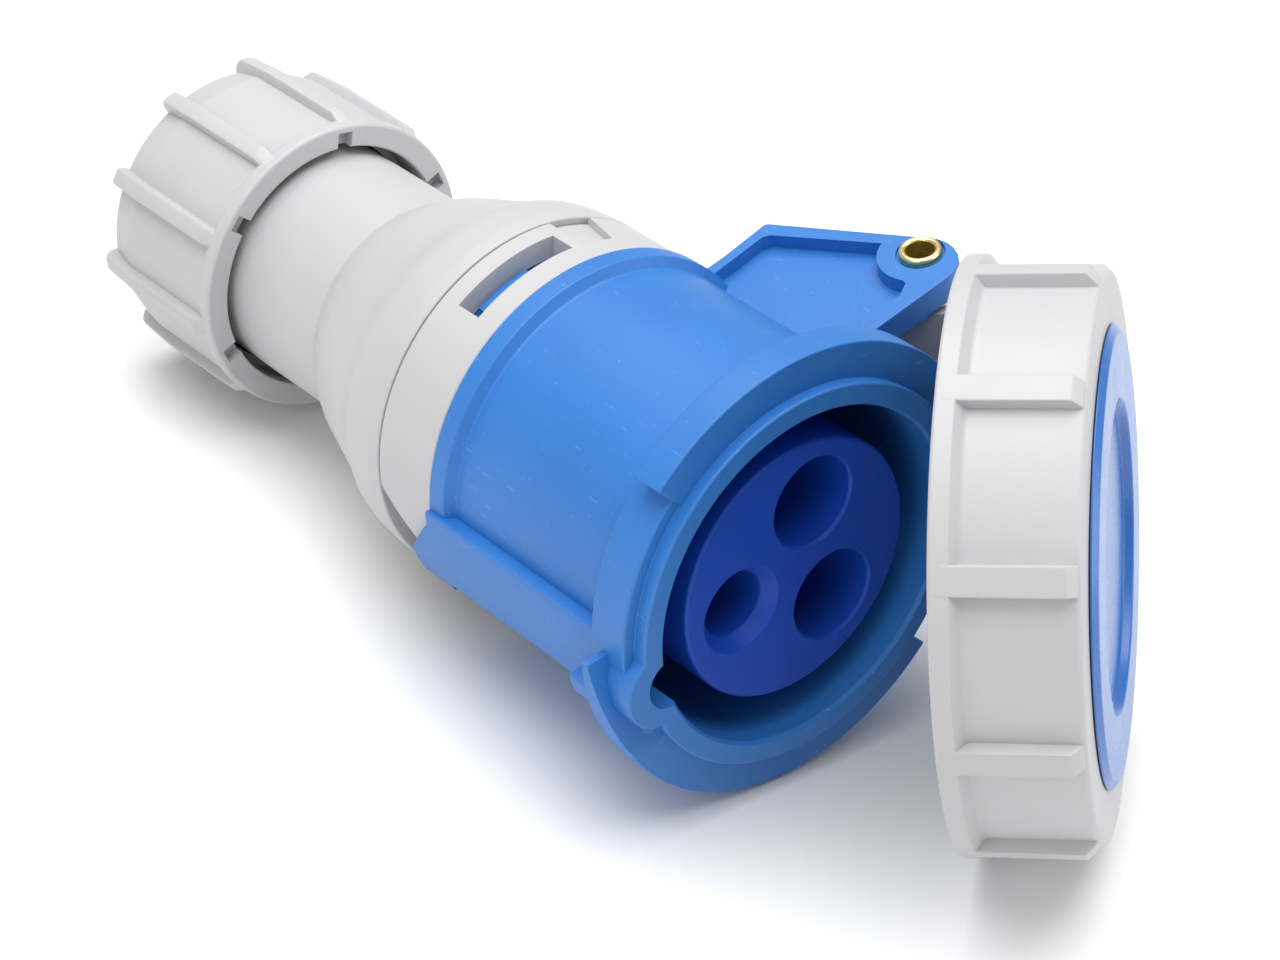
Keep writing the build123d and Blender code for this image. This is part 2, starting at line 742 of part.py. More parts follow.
def gland_nut():
    """Ribbed nut that closes the clamp cage on the cable."""
    cage_inner, cage_outer = cage_radii()
    flange_rear = neck_rear + cage_flange_width + slide_gap
    tip = neck_rear + cage_flange_width + cage_finger_length + 2 * slide_gap
    thread_radius = neck_radius + slide_gap
    body = turned(((nut_front, nut_mouth_radius), (nut_front, nut_rim_radius),
                   (nut_front + nut_rim_width, nut_rim_radius),
                   (nut_front + nut_rim_width, nut_radius), (nut_shoulder, nut_radius),
                   (nut_rear - nut_edge, nut_tail_radius), (nut_rear, nut_tail_radius - nut_edge),
                   (nut_rear, nut_entry_radius), (tip, nut_entry_radius),
                   (tip, cage_inner + cage_finger_tip + nut_tip_play),
                   (flange_rear, cage_outer + nut_seat_play), (flange_rear, thread_radius),
                   (nut_front + nut_mouth_depth, thread_radius),
                   (nut_front + nut_mouth_depth, nut_mouth_radius)))
    rib = nut_rib()
    for index in range(nut_rib_count):
        body += Rot(nut_rib_angle + index * full_turn / nut_rib_count, 0, 0) * rib
    notch_reach = nut_rim_radius - nut_mouth_radius - nut_notch_rim
    notch = Pos(-nut_front + (cut_reach - nut_notch_depth) / 2,
                nut_mouth_radius + (notch_reach - cut_reach) / 2, 0)
    cut = notch * Box(nut_notch_depth + cut_reach, notch_reach + cut_reach, nut_notch_width)
    for index in range(nut_notch_count):
        body -= Rot(nut_notch_angle + index * full_turn / nut_notch_count, 0, 0) * cut
    return body


def hinge_eyelet():
    """Hollow brass rivet through the ears, with a rolled head at each end."""
    head_base = block_half_width - rivet_sink
    top = block_half_width + rivet_head_height
    head = upright(rivet_head_radius, head_base, top)
    head = fillet(head.edges().group_by(Axis.Z)[-1], rivet_head_rounding)
    rivet = upright(rivet_radius, -top, top) + head + mirror(head, about=Plane.XY)
    return hinge_place * (rivet - upright(rivet_bore_radius, -top - cut_reach, top + cut_reach))


def lid_spring():
    """Torsion spring round the rivet, with one leg on the rear wall of the slot and one at the arm."""
    base = knuckle_top + slide_gap + spring_wire / 2
    pitch = (block_slot_half_width - slide_gap - spring_wire / 2 - base) / spring_turns
    half_step = full_turn / spring_bends_per_turn / 2
    bend_radius = spring_mean_radius / math.cos(math.radians(half_step))
    rise = pitch / full_turn
    total = full_turn * spring_turns
    points = [Vector(spring_mean_radius, spring_leg_length, 0)]
    turned_by = half_step
    while turned_by < total:
        angle = math.radians(-turned_by)
        points.append(Vector(bend_radius * math.cos(angle), bend_radius * math.sin(angle),
                             turned_by * rise))
        turned_by += 2 * half_step
    wall_leg_length = block_slot_rear + hinge_x - seat_gap
    points.append(Vector(spring_mean_radius, -wall_leg_length, total * rise))
    path = Polyline(*points)
    wire = sweep(Plane(origin=path @ 0, z_dir=path % 0) * Circle(spring_wire / 2), path,
                 transition=Transition.RIGHT)
    return hinge_place * Pos(0, 0, base) * Rot(0, 0, -90) * wire


def lid_arm():
    """Cranked arm of the cap: knuckle round the rivet, leg, and plate into the cap."""
    plate_inner = collar_radius + swing_gap
    plate_outer = plate_inner + arm_plate_thickness
    leg_front = -arm_leg_front
    side = ((arm_rear[0], arm_rear[1]), (arm_heel[0], arm_heel[1]), (arm_heel[0], plate_inner),
            (leg_front, plate_inner), (leg_front, hinge_y - arm_shoulder[0]),
            (hinge_x + arm_shoulder[1], hinge_y - arm_shoulder[2]),
            (hinge_x - arm_back[0], hinge_y - arm_back[1]))
    arm = slab(side, -arm_half_width, arm_half_width)
    reach = arm_half_width + cut_reach
    arm -= slab(((arm_rear[0] - cut_reach, arm_rear[1] - cut_reach),
                 (arm_heel[0], arm_heel[1] - cut_reach),
                 (arm_heel[0], arm_heel[1]), (arm_rear[0], arm_rear[1] + arm_step)), 0, reach)
    plane = Plane(origin=(0, arm_rear[1] - arm_taper_below, 0), x_dir=(1, 0, 0), z_dir=(0, 1, 0))
    corner = outline_in(plane, ((arm_rear[0] - cut_reach, 0), (arm_rear[0], 0),
                                (arm_heel[0], arm_half_width),
                                (arm_heel[0], reach), (arm_rear[0] - cut_reach, reach)))
    arm -= extrude(corner, arm_taper_height)
    arm += pin(arm_knuckle_radius, -arm_half_width, knuckle_top)
    arm -= pin(arm_knuckle_radius + knuckle_room, knuckle_top, reach)
    foot = leg_front - cut_reach
    arm += slab(((foot, plate_inner), (-carrier_rear(), plate_inner), (-carrier_rear(), plate_outer),
                 (foot, plate_outer)),
                -arm_plate_half_width, arm_plate_half_width)
    return arm - pin(rivet_radius + hinge_gap, -reach, reach)


def carrier_rear():
    """Distance behind the mouth of the carrier's rear face, negative because it is in front."""
    return -(gasket_squeeze_gap + gasket_thickness)


def lid_carrier():
    """Grey inner plate of the cap with its arm and the wall round the gasket."""
    rear = carrier_rear()
    front = rear - carrier_thickness
    hub_front = -disc_front + disc_thickness + disc_hub_depth
    wall_front = -gasket_squeeze_gap - 2 * seat_gap
    plate = turned(((rear, 0), (rear, gasket_radius + seat_gap), (wall_front, gasket_radius + seat_gap),
                    (wall_front, gasket_radius + gasket_wall), (rear, gasket_radius + gasket_wall),
                    (rear, carrier_radius), (front, carrier_radius), (front, disc_hub_radius),
                    (hub_front, disc_hub_radius),
                    (hub_front, 0)))
    return plate + lid_arm()


def lid_gasket():
    """Rubber ring in the cap that seals on the lip of the mouth."""
    inner = gasket_radius - gasket_width
    return turned(((carrier_rear(), inner), (carrier_rear(), gasket_radius),
                   (-gasket_squeeze_gap, gasket_radius), (-gasket_squeeze_gap, inner)))


def lid_disc():
    """Blue disc on the front of the cap, with a shallow round recess."""
    back = -disc_front + disc_thickness
    return turned(((back + disc_hub_depth, 0), (back + disc_hub_depth, disc_hub_radius),
                   (back, disc_hub_radius),
                   (back, disc_radius), (-disc_front + disc_bevel, disc_radius),
                   (-disc_front, disc_radius - disc_bevel),
                   (-disc_front, disc_recess_radius),
                   (-disc_front + disc_recess_depth, disc_recess_radius - disc_recess_draft),
                   (-disc_front + disc_recess_depth, 0)))


def bayonet_ring():
    """Grey turning ring of the cap with ten grip ribs and two locking lugs."""
    rim_front = ring_rim_rear - ring_rim_width
    front = -ring_front
    hole = disc_hub_radius + ring_hole_gap
    ring = turned(((ring_rim_rear, ring_mouth_radius), (ring_rim_rear, ring_rim_radius),
                   (rim_front, ring_rim_radius),
                   (rim_front - ring_root_length, ring_body_radius),
                   (front + ring_edge, ring_body_radius),
                   (front, ring_body_radius - ring_edge), (front, hole), (front + ring_front_wall, hole),
                   (front + ring_front_wall, ring_inner_radius),
                   (ring_rim_rear - ring_draft_length, ring_inner_radius)))
    half = ring_rib_width / 2
    root = ring_body_radius - ring_rib_root
    foot = -rim_front - ring_rib_root / 2
    rib = slab(((foot, root), (foot, ring_rim_radius), (ring_rib_end - ring_rib_slope, ring_rim_radius),
                (ring_rib_end, ring_body_radius + ring_rib_step), (ring_rib_end, root)), -half, half)
    for index in range(ring_rib_count):
        ring += Rot(ring_rib_angle + index * full_turn / ring_rib_count, 0, 0) * rib
    lug_rear = ring_rim_rear - ring_lug_inset
    for angle in ring_lug_angles:
        ring += band(lug_rear, lug_rear - ring_lug_width, ring_lug_radius,
                     ring_mouth_radius + ring_lug_root,
                     angle - ring_lug_half_angle, angle + ring_lug_half_angle)
    return ring


def opened(piece):
    """Piece of the cap swung open about the hinge."""
    return swing * piece


def downwards(pitch, roll):
    """Direction of the floor in the coupler's axes."""
    return Vector(-math.sin(pitch), -math.cos(pitch) * math.sin(roll), -math.cos(pitch) * math.cos(roll))


def nut_reach(roll):
    """Largest share of the nut's rib radius that points at the floor."""
    lowest = math.degrees(math.atan2(-math.cos(roll), -math.sin(roll)))
    angles = [nut_rib_angle + index * full_turn / nut_rib_count for index in range(nut_rib_count)]
    return max(math.cos(math.radians(angle - lowest)) for angle in angles)


def pitch_for(roll):
    """Pitch at which the flange and the nearest rib of the nut touch the floor together."""
    rise = flange_radius - nut_rib_radius * nut_reach(roll)
    return math.atan2(rise, nut_shoulder - flange_front - flange_width)


def cap_hangs_below(roll):
    """How much lower the rim of the opened cap reaches than the flange."""
    pitch = pitch_for(roll)
    down = downwards(pitch, roll)
    centre = (swing * Pos(-ring_rim_rear, 0, 0)).position
    cap_axis = (swing * Pos(1 - ring_rim_rear, 0, 0)).position - centre
    rim = ring_rim_radius * math.sqrt(1 - cap_axis.dot(down) ** 2)
    flange = -(flange_front + flange_width) * down.X + flange_radius * math.cos(pitch)
    return centre.dot(down) + rim - flange


def resting_roll():
    """Roll at which the opened cap touches the floor as well, found by halving."""
    low, high = 0.0, math.radians(40.0)
    for _ in range(50):
        middle = (low + high) / 2
        if cap_hangs_below(middle) > 0:
            low = middle
        else:
            high = middle
    return (low + high) / 2


roll = resting_roll()
pitch = pitch_for(roll)
lean = Rot(0, -math.degrees(pitch), 0) * Rot(math.degrees(roll), 0, 0)


def contact_place(angle):
    """Placement of a contact in the insert."""
    return on_circle(contact_circle_radius, angle)


def build():
    """All pieces by node name, still in the coupler's own axes."""
    pieces = {
        "front_housing": front_housing(),
        "contact_insert": contact_insert(),
        "contact_retainer": contact_retainer(),
        "retainer_screws": retainer_screws(),
        "locking_collar": locking_collar(),
        "rear_sleeve": rear_sleeve(),
        "sleeve_seal": sleeve_seal(),
        "clamp_cage": clamp_cage(),
        "cable_grommet": cable_grommet(),
        "gland_nut": gland_nut(),
        "hinge_eyelet": hinge_eyelet(),
        "lid_spring": lid_spring(),
        "lid_carrier": opened(lid_carrier()),
        "lid_disc": opened(lid_disc()),
        "lid_gasket": opened(lid_gasket()),
        "bayonet_ring": opened(bayonet_ring()),
    }
    contacts = (("line", power_angles[0], power_bore_radius),
                ("neutral", power_angles[1], power_bore_radius),
                ("earth", earth_angle, earth_bore_radius))
    for name, angle, bore in contacts:
        place = contact_place(angle)
        pieces[name + "_contact"] = place * contact(bore)
        pieces[name + "_contact_spring"] = place * spring_ring(bore)
        pieces[name + "_terminal_screws"] = place * terminal_screws(bore)
    return pieces


def footing(pieces):
    """Shift that puts the leant assembly's box on the floor, centred on the origin."""
    box = Compound([lean * piece for piece in pieces.values()]).bounding_box()
    return Pos(-box.center().X, -box.center().Y, -box.min.Z)


def main():
    """Build every piece, lean the assembly on the floor and write one file a node."""
    os.makedirs("parts", exist_ok=True)
    pieces = build()
    rest = footing(pieces) * lean
    for name, piece in pieces.items():
        export_step(rest * piece, os.path.join("parts", name + ".step"))


if __name__ == "__main__":
    main()
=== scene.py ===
"""Looks of the blue cable coupler with its hinged cap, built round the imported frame.

Shapes are worked out in the coupler's own axes, in millimetres: x runs forward along the
mating axis from the front face of the mouth, y points from the axis to the hinge, and z is
square to both, close to the leaning hinge pin. Angles about the mating axis start at y and
turn towards z. Sizes named after a surface are radii, and fronts, rears and ends are distances
behind the mouth, unless a comment says otherwise. Each finished piece is then carried into the
frame, in metres, with its place in its mesh.
"""
from __future__ import annotations

import json
import logging
import math
from dataclasses import dataclass, field
from enum import Enum

import bmesh
import bpy
import numpy as np
from mathutils import Matrix, Vector

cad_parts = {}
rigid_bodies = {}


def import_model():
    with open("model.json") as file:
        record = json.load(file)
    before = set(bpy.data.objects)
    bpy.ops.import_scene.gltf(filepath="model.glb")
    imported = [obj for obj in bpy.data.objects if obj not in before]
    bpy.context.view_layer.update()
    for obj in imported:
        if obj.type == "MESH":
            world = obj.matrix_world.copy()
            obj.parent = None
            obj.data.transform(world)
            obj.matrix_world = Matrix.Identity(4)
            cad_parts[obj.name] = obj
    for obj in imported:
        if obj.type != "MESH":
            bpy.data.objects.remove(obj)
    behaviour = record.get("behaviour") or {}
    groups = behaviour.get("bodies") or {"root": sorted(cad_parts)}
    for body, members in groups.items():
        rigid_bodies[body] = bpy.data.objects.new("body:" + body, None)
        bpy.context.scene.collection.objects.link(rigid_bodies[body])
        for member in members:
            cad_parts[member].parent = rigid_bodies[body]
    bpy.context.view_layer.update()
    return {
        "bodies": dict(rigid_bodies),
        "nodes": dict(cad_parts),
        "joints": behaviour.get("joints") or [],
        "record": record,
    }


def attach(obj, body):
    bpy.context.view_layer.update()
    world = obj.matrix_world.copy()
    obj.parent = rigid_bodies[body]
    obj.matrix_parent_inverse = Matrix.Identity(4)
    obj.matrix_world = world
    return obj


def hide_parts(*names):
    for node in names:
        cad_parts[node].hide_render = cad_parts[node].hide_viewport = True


LOG = logging.getLogger("coupler")
MM = 0.001
FULL_TURN = 360.0

# How far a tool or a root reaches past the surface that it meets, and how far a flat tool
# reaches past a round one, in millimetres.
OVER = 1.0
REACH = 5.0

# Degrees between the copies of an outline in a sector, and the least turn of an edge that a
# bevel rounds.
SECTOR_STEP = 1.5
BEVEL_ANGLE = 40.0

Loop = np.ndarray
Corner = tuple[float, ...]
Point = tuple[float, float, float]
Span = tuple[float, float]
Colour = tuple[float, float, float, float]


class Turns(Enum):
    """How finely a turned shape is divided round its axis."""

    FINE = 96
    SMOOTH = 240


class Join(Enum):
    """What one stock does to another."""

    ADD = "UNION"
    CUT = "DIFFERENCE"


def rounded(points: list[Corner], steps: int = 4) -> Loop:
    """Closed outline with its corners rounded.

    Each corner becomes an arc tangent to its two sides: the arc's ends lie at radius over
    tan(half angle) from the corner, and the points of the chord between them are pushed out
    from the arc's centre to its radius.

    Args:
        points: x, y and, where the corner is rounded, its radius, in order.
        steps: pieces that a rounded corner is divided into.

    Returns:
        Array of outline points.
    """
    table = np.array([(*point, 0.0)[:3] for point in points], float)
    corner, radius = table[:, :2], table[:, 2]
    before = np.roll(corner, 1, axis=0) - corner
    after = np.roll(corner, -1, axis=0) - corner
    len_before = np.linalg.norm(before, axis=1)
    len_after = np.linalg.norm(after, axis=1)
    u = before / len_before[:, None]
    v = after / len_after[:, None]
    cosine = np.clip((u * v).sum(1), -0.9999, 0.9999)
    half = np.arccos(cosine) / 2
    reach = np.minimum(radius / np.tan(half), 0.48 * np.minimum(len_before, len_after))
    start, end = corner + u * reach[:, None], corner + v * reach[:, None]
    centre_way = (u + v) / np.maximum(np.linalg.norm(u + v, axis=1), 1e-9)[:, None]
    real_radius = reach * np.tan(half)
    centre = corner + centre_way * (real_radius / np.sin(half))[:, None]
    share = np.linspace(0, 1, steps + 1)[None, :, None]
    chord = (1 - share) * start[:, None] + share * end[:, None]
    spoke = chord - centre[:, None]
    length = np.maximum(np.linalg.norm(spoke, axis=2, keepdims=True), 1e-9)
    arcs = centre[:, None] + spoke / length * real_radius[:, None, None]
    kept = [arcs[i] if radius[i] > 0 else corner[i:i + 1] for i in range(len(corner))]
    return np.concatenate(kept)


def profile(points: list[Corner], steps: int = 4) -> Loop:
    """Outline of (distance behind the mouth, radius, corner radius) points, as (x, radius)."""
    return rounded([(-point[0], *point[1:]) for point in points], steps)


def band(rear: float, front: float, inner: float, outer: float, edge: float = 0.0) -> Loop:
    """Profile between two distances behind the mouth and two radii, rounded at its outer corners."""
    return profile([(rear, inner), (rear, outer, edge), (front, outer, edge), (front, inner)])


@dataclass
class Stock:
    """A closed mesh in progress, in millimetres, in the coupler's own axes."""

    vertices: np.ndarray
    faces: list
    steps: list[tuple[Join, "Stock"]] = field(default_factory=list)
    bevel: float = 0.0

    @classmethod
    def lathe(cls, loop: Loop, turns: Turns = Turns.SMOOTH) -> "Stock":
        """Outline carried round the x axis: (x, r) at angle a lies at (x, r cos a, r sin a)."""
        angle = np.linspace(0, 2 * np.pi, turns.value, endpoint=False)
        return cls(cls._carried(loop, angle), cls._grid(len(loop), turns.value, True))

    @classmethod
    def sector(cls, loop: Loop, start: float, end: float, bevel: float = 0.0) -> "Stock":
        """Closed outline carried part of the way round the x axis, with flat ends.

        Args:
            loop: closed outline of (x, radius) points.
            start: first angle in degrees.
            end: last angle in degrees.
            bevel: width of the rounding of its sharp edges.

        Returns:
            The sector.
        """
        count = max(2, int(abs(end - start) / SECTOR_STEP))
        angle = np.radians(np.linspace(start, end, count + 1))
        size = len(loop)
        faces = cls._grid(size, count + 1, False)
        faces.append(list(range(size)))
        faces.append(list(range((count + 1) * size - 1, count * size - 1, -1)))
        return cls(cls._carried(loop, angle), faces, bevel=bevel)

    @classmethod
    def plate(cls, loop: Loop, low: float, high: float, bevel: float = 0.0) -> "Stock":
        """Outline in the x-y plane carried straight along z.

        Args:
            loop: closed outline of (x, y) points.
            low: z of the first face.
            high: z of the last face.
            bevel: width of the rounding of its sharp edges.

        Returns:
            The plate.
        """
        size = len(loop)
        grid = np.empty((2, size, 3))
        grid[..., :2] = loop[None]
        grid[..., 2] = np.array([[low], [high]])
        faces = cls._grid(size, 2, False)
        faces.append(list(range(size)))
        faces.append(list(range(2 * size - 1, size - 1, -1)))
        return cls(grid.reshape(-1, 3), faces, bevel=bevel)

    @classmethod
    def slab(cls, loop: Loop, half: float, bevel: float = 0.0) -> "Stock":
        """Plate that reaches as far to both sides of the x-y plane."""
        return cls.plate(loop, -half, half, bevel)

    @classmethod
    def tangent(cls, loop: Loop, low: float, high: float, angle: float) -> "Stock":
        """Plate between two radii, square to the radius at an angle, its y against the turn."""
        lying = cls.plate(loop, low, high).moved(Matrix.Rotation(math.radians(-90), 4, "X"))
        return lying.at(angle)

    @classmethod
    def rod(cls, radius: float, rear: float, front: float, edge: float = 0.0,
            turns: Turns = Turns.FINE) -> "Stock":
        """Cylinder on the x axis between two distances behind the mouth."""
        return cls.lathe(band(rear, front, 0.0, radius, edge), turns)

    @staticmethod
    def _carried(loop: Loop, angle: np.ndarray) -> np.ndarray:
        """Outline points at each angle round the x axis, as one list.

        Args:
            loop: closed outline of (x, radius) points.
            angle: angles in radians.

        Returns:
            Array of x, y, z points.
        """
        x = np.broadcast_to(loop[None, :, 0], (len(angle), len(loop)))
        y = np.cos(angle)[:, None] * loop[None, :, 1]
        z = np.sin(angle)[:, None] * loop[None, :, 1]
        return np.stack([x, y, z], axis=-1).reshape(-1, 3)

    @staticmethod
    def _grid(across: int, along: int, closed: bool) -> list:
        """Four-sided faces of a grid whose outline is closed across.

        Args:
            across: points of the outline.
            along: copies of the outline.
            closed: whether the last copy joins the first.

        Returns:
            Lists of four indices.
        """
        rows = np.arange(along if closed else along - 1)
        i = rows[:, None] * across
        j = ((rows + 1) % along)[:, None] * across
        k = np.arange(across)[None]
        after = (k + 1) % across
        quads = np.stack([i + k, j + k, j + after, i + after], axis=-1)
        return quads.reshape(-1, 4).tolist()

    def moved(self, matrix: Matrix) -> "Stock":
        """Copy of this stock, with all that is joined to it, under a transform.

        Args:
            matrix: the transform.

        Returns:
            The moved copy.
        """
        array = np.array(matrix)
        vertices = self.vertices @ array[:3, :3].T + array[:3, 3]
        steps = [(kind, other.moved(matrix)) for kind, other in self.steps]
        return Stock(vertices, self.faces, steps, self.bevel)

    def at(self, angle: float, radius: float = 0.0) -> "Stock":
        """Copy at a radius from the mating axis, turned about it by an angle in degrees."""
        turn = Matrix.Rotation(math.radians(angle), 4, "X")
        return self.moved(turn @ Matrix.Translation((0, radius, 0)))

    def spread(self, count: int, start: float = 0.0) -> list["Stock"]:
        """Copies spaced evenly round the mating axis, from a first angle in degrees."""
        return [self.at(start + k * FULL_TURN / count) for k in range(count)]

    def add(self, *others: "Stock") -> "Stock":
        """Join other stocks to this one."""
        self.steps += [(Join.ADD, other) for other in others]
        return self

    def cut(self, *others: "Stock") -> "Stock":
        """Cut other stocks out of this one."""
        self.steps += [(Join.CUT, other) for other in others]
        return self

    def object(self, name: str = "stock") -> bpy.types.Object:
        """Finished mesh object of this stock, still in millimetres.

        Args:
            name: the object's name.

        Returns:
            A linked object with every joint and cut carried out.
        """
        mesh = bpy.data.meshes.new(name)
        mesh.from_pydata(self.vertices.tolist(), [], self.faces)
        merged = bmesh.new()
        merged.from_mesh(mesh)
        bmesh.ops.remove_doubles(merged, verts=merged.verts, dist=1e-5)
        bmesh.ops.recalc_face_normals(merged, faces=merged.faces)
        merged.to_mesh(mesh)
        merged.free()
        piece = bpy.data.objects.new(name, mesh)
        bpy.context.scene.collection.objects.link(piece)
        if self.bevel > 0:
            soften(piece, self.bevel)
        tools = []
        for kind, other in self.steps:
            tool = other.object(name + "_tool")
            tools.append(tool)
            step = piece.modifiers.new("step", "BOOLEAN")
            step.operation = kind.value
            step.solver = "MANIFOLD"
            step.object = tool
        if tools:
            settle(piece)
        for tool in tools:
            discard(tool)
        return piece


def soften(piece: bpy.types.Object, width: float) -> None:
    """Round the sharp edges of a simple closed mesh and keep the result.

    Args:
        piece: the mesh object.
        width: width of the rounding.
    """
    rounding = piece.modifiers.new("edges", "BEVEL")
    rounding.width = width
    rounding.segments = 2
    rounding.limit_method = "ANGLE"
    rounding.angle_limit = math.radians(BEVEL_ANGLE)
    rounding.use_clamp_overlap = False
    settle(piece)


def settle(piece: bpy.types.Object) -> None:
    """Replace a piece's mesh by the outcome of its modifiers.

    Args:
        piece: the mesh object.
    """
    bpy.context.view_layer.update()
    graph = bpy.context.evaluated_depsgraph_get()
    outcome = bpy.data.meshes.new_from_object(piece.evaluated_get(graph))
    old = piece.data
    piece.modifiers.clear()
    piece.data = outcome
    bpy.data.meshes.remove(old)


def discard(piece: bpy.types.Object) -> None:
    """Remove a helper object and its mesh.

    Args:
        piece: the helper object.
    """
    mesh = piece.data
    bpy.data.objects.remove(piece)
    bpy.data.meshes.remove(mesh)


@dataclass(frozen=True)
class Axes:
    """The coupler's own axes as they lie in the frame."""

    origin: np.ndarray
    basis: np.ndarray

    @classmethod
    def from_joints(cls, joints: list[dict], front_to_nut: float, lean: float) -> "Axes":
        """Axes worked out from the gland nut's axis and the leaning hinge pin.

        The pin lies in the plane of y and z, and leans from z towards y.

        Args:
            joints: the frame's joints.
            front_to_nut: distance in millimetres from the mouth back to the nut's joint.
            lean: lean of the hinge pin in degrees.

        Returns:
            The axes, with their origin at the front face of the mouth.
        """
        named = {joint["name"]: joint for joint in joints}
        forward = np.array(named["nut_turn"]["axis"], float)
        pin = np.array(named["lid_hinge"]["axis"], float)
        across = np.cross(pin, forward)
        angle = math.radians(lean)
        sideways = math.cos(angle) * across + math.sin(angle) * pin
        upright = math.cos(angle) * pin - math.sin(angle) * across
        origin = np.array(named["nut_turn"]["pos_m"], float) + forward * front_to_nut * MM
        return cls(origin, np.stack([forward, sideways, upright], axis=1))

    def matrix(self) -> Matrix:
        """Transform from millimetres in these axes to metres in the frame.

        Returns:
            The transform.
        """
        whole = np.eye(4)
        whole[:3, :3] = self.basis * MM
        whole[:3, 3] = self.origin
        return Matrix(whole.tolist())

    def point(self, local: Point) -> Vector:
        """A point in these axes, as a point in the frame."""
        return self.matrix() @ Vector(local)

    def way(self, local: Point) -> Vector:
        """A direction in these axes, as a direction in the frame."""
        return Vector(self.basis @ np.array(local, float)).normalized()


class Sock:
    """A shader socket that can be used in Python arithmetic."""

    def __init__(self, maker: "Finisher", socket: bpy.types.NodeSocket) -> None:
        """Keep the socket and the finisher that makes further nodes."""
        self.maker = maker
        self.socket = socket

    def _math(self, operation: str, *values: object) -> "Sock":
        """Math node of one operation on this value and others."""
        return self.maker.node("ShaderNodeMath", {"operation": operation}, dict(enumerate(values)))

    def __add__(self, other: object) -> "Sock":
        """Sum."""
        return self._math("ADD", self, other)

    __radd__ = __add__

    def __mul__(self, other: object) -> "Sock":
        """Product."""
        return self._math("MULTIPLY", self, other)

    __rmul__ = __mul__

    def step(self, low: float, high: float) -> "Sock":
        """Smooth rise from zero at low to one at high."""
        values = {"Value": self, "From Min": low, "From Max": high}
        return self.maker.node("ShaderNodeMapRange", {"interpolation_type": "SMOOTHSTEP"}, values)


class Finisher:
    """Builds one material out of nodes."""

    def __init__(self, name: str) -> None:
        """Start a material with a Principled shader.

        Args:
            name: name of the material.
        """
        self.material = bpy.data.materials.new(name)
        self.material.use_nodes = True
        self.tree = self.material.node_tree
        self.shader = self.tree.nodes["Principled BSDF"]

    def node(self, kind: str, settings: dict, values: dict, output: int | str = 0) -> Sock:
        """Make a node.

        Args:
            kind: the node's type.
            settings: properties that are set first.
            values: numbers, colours or sockets by input name or index.
            output: output to return.

        Returns:
            The wrapped output socket.
        """
        node = self.tree.nodes.new(kind)
        for key, value in settings.items():
            setattr(node, key, value)
        for key, value in values.items():
            self.give(node.inputs[key], value)
        return Sock(self, node.outputs[output])

    def give(self, target: bpy.types.NodeSocket, value: object) -> None:
        """Link an input to a socket or set it to a value."""
        if isinstance(value, Sock):
            self.tree.links.new(value.socket, target)
        else:
            target.default_value = value

    def feed(self, **values: object) -> None:
        """Set or link inputs of the shader, with underscores for spaces."""
        for key, value in values.items():
            self.give(self.shader.inputs[key.replace("_", " ")], value)

    def place(self, scale: Point = (1, 1, 1), turn: Point = (0, 0, 0)) -> Sock:
        """Object coordinates, turned and stretched."""
        raw = self.node("ShaderNodeTexCoord", {}, {}, "Object")
        return self.node("ShaderNodeMapping", {}, {"Vector": raw, "Scale": scale, "Rotation": turn})

    def noise(self, place: Sock, scale: float, detail: float, rough: float) -> Sock:
        """Cloudy noise between zero and one."""
        values = {"Vector": place, "Scale": scale, "Detail": detail, "Roughness": rough}
        return self.node("ShaderNodeTexNoise", {}, values, "Fac")

    def mix(self, share: Sock, first: object, second: object) -> Sock:
        """Blend of two colours."""
        values = {0: share, 6: first, 7: second}
        return self.node("ShaderNodeMix", {"data_type": "RGBA"}, values, 2)

    def bump(self, height: Sock, distance: float, strength: float) -> Sock:
        """Normal of a surface with small relief."""
        values = {"Height": height, "Distance": distance, "Strength": strength}
        return self.node("ShaderNodeBump", {}, values)


def rgb(red: float, green: float, blue: float) -> Colour:
    """Opaque colour from three linear values."""
    return (red, green, blue, 1.0)


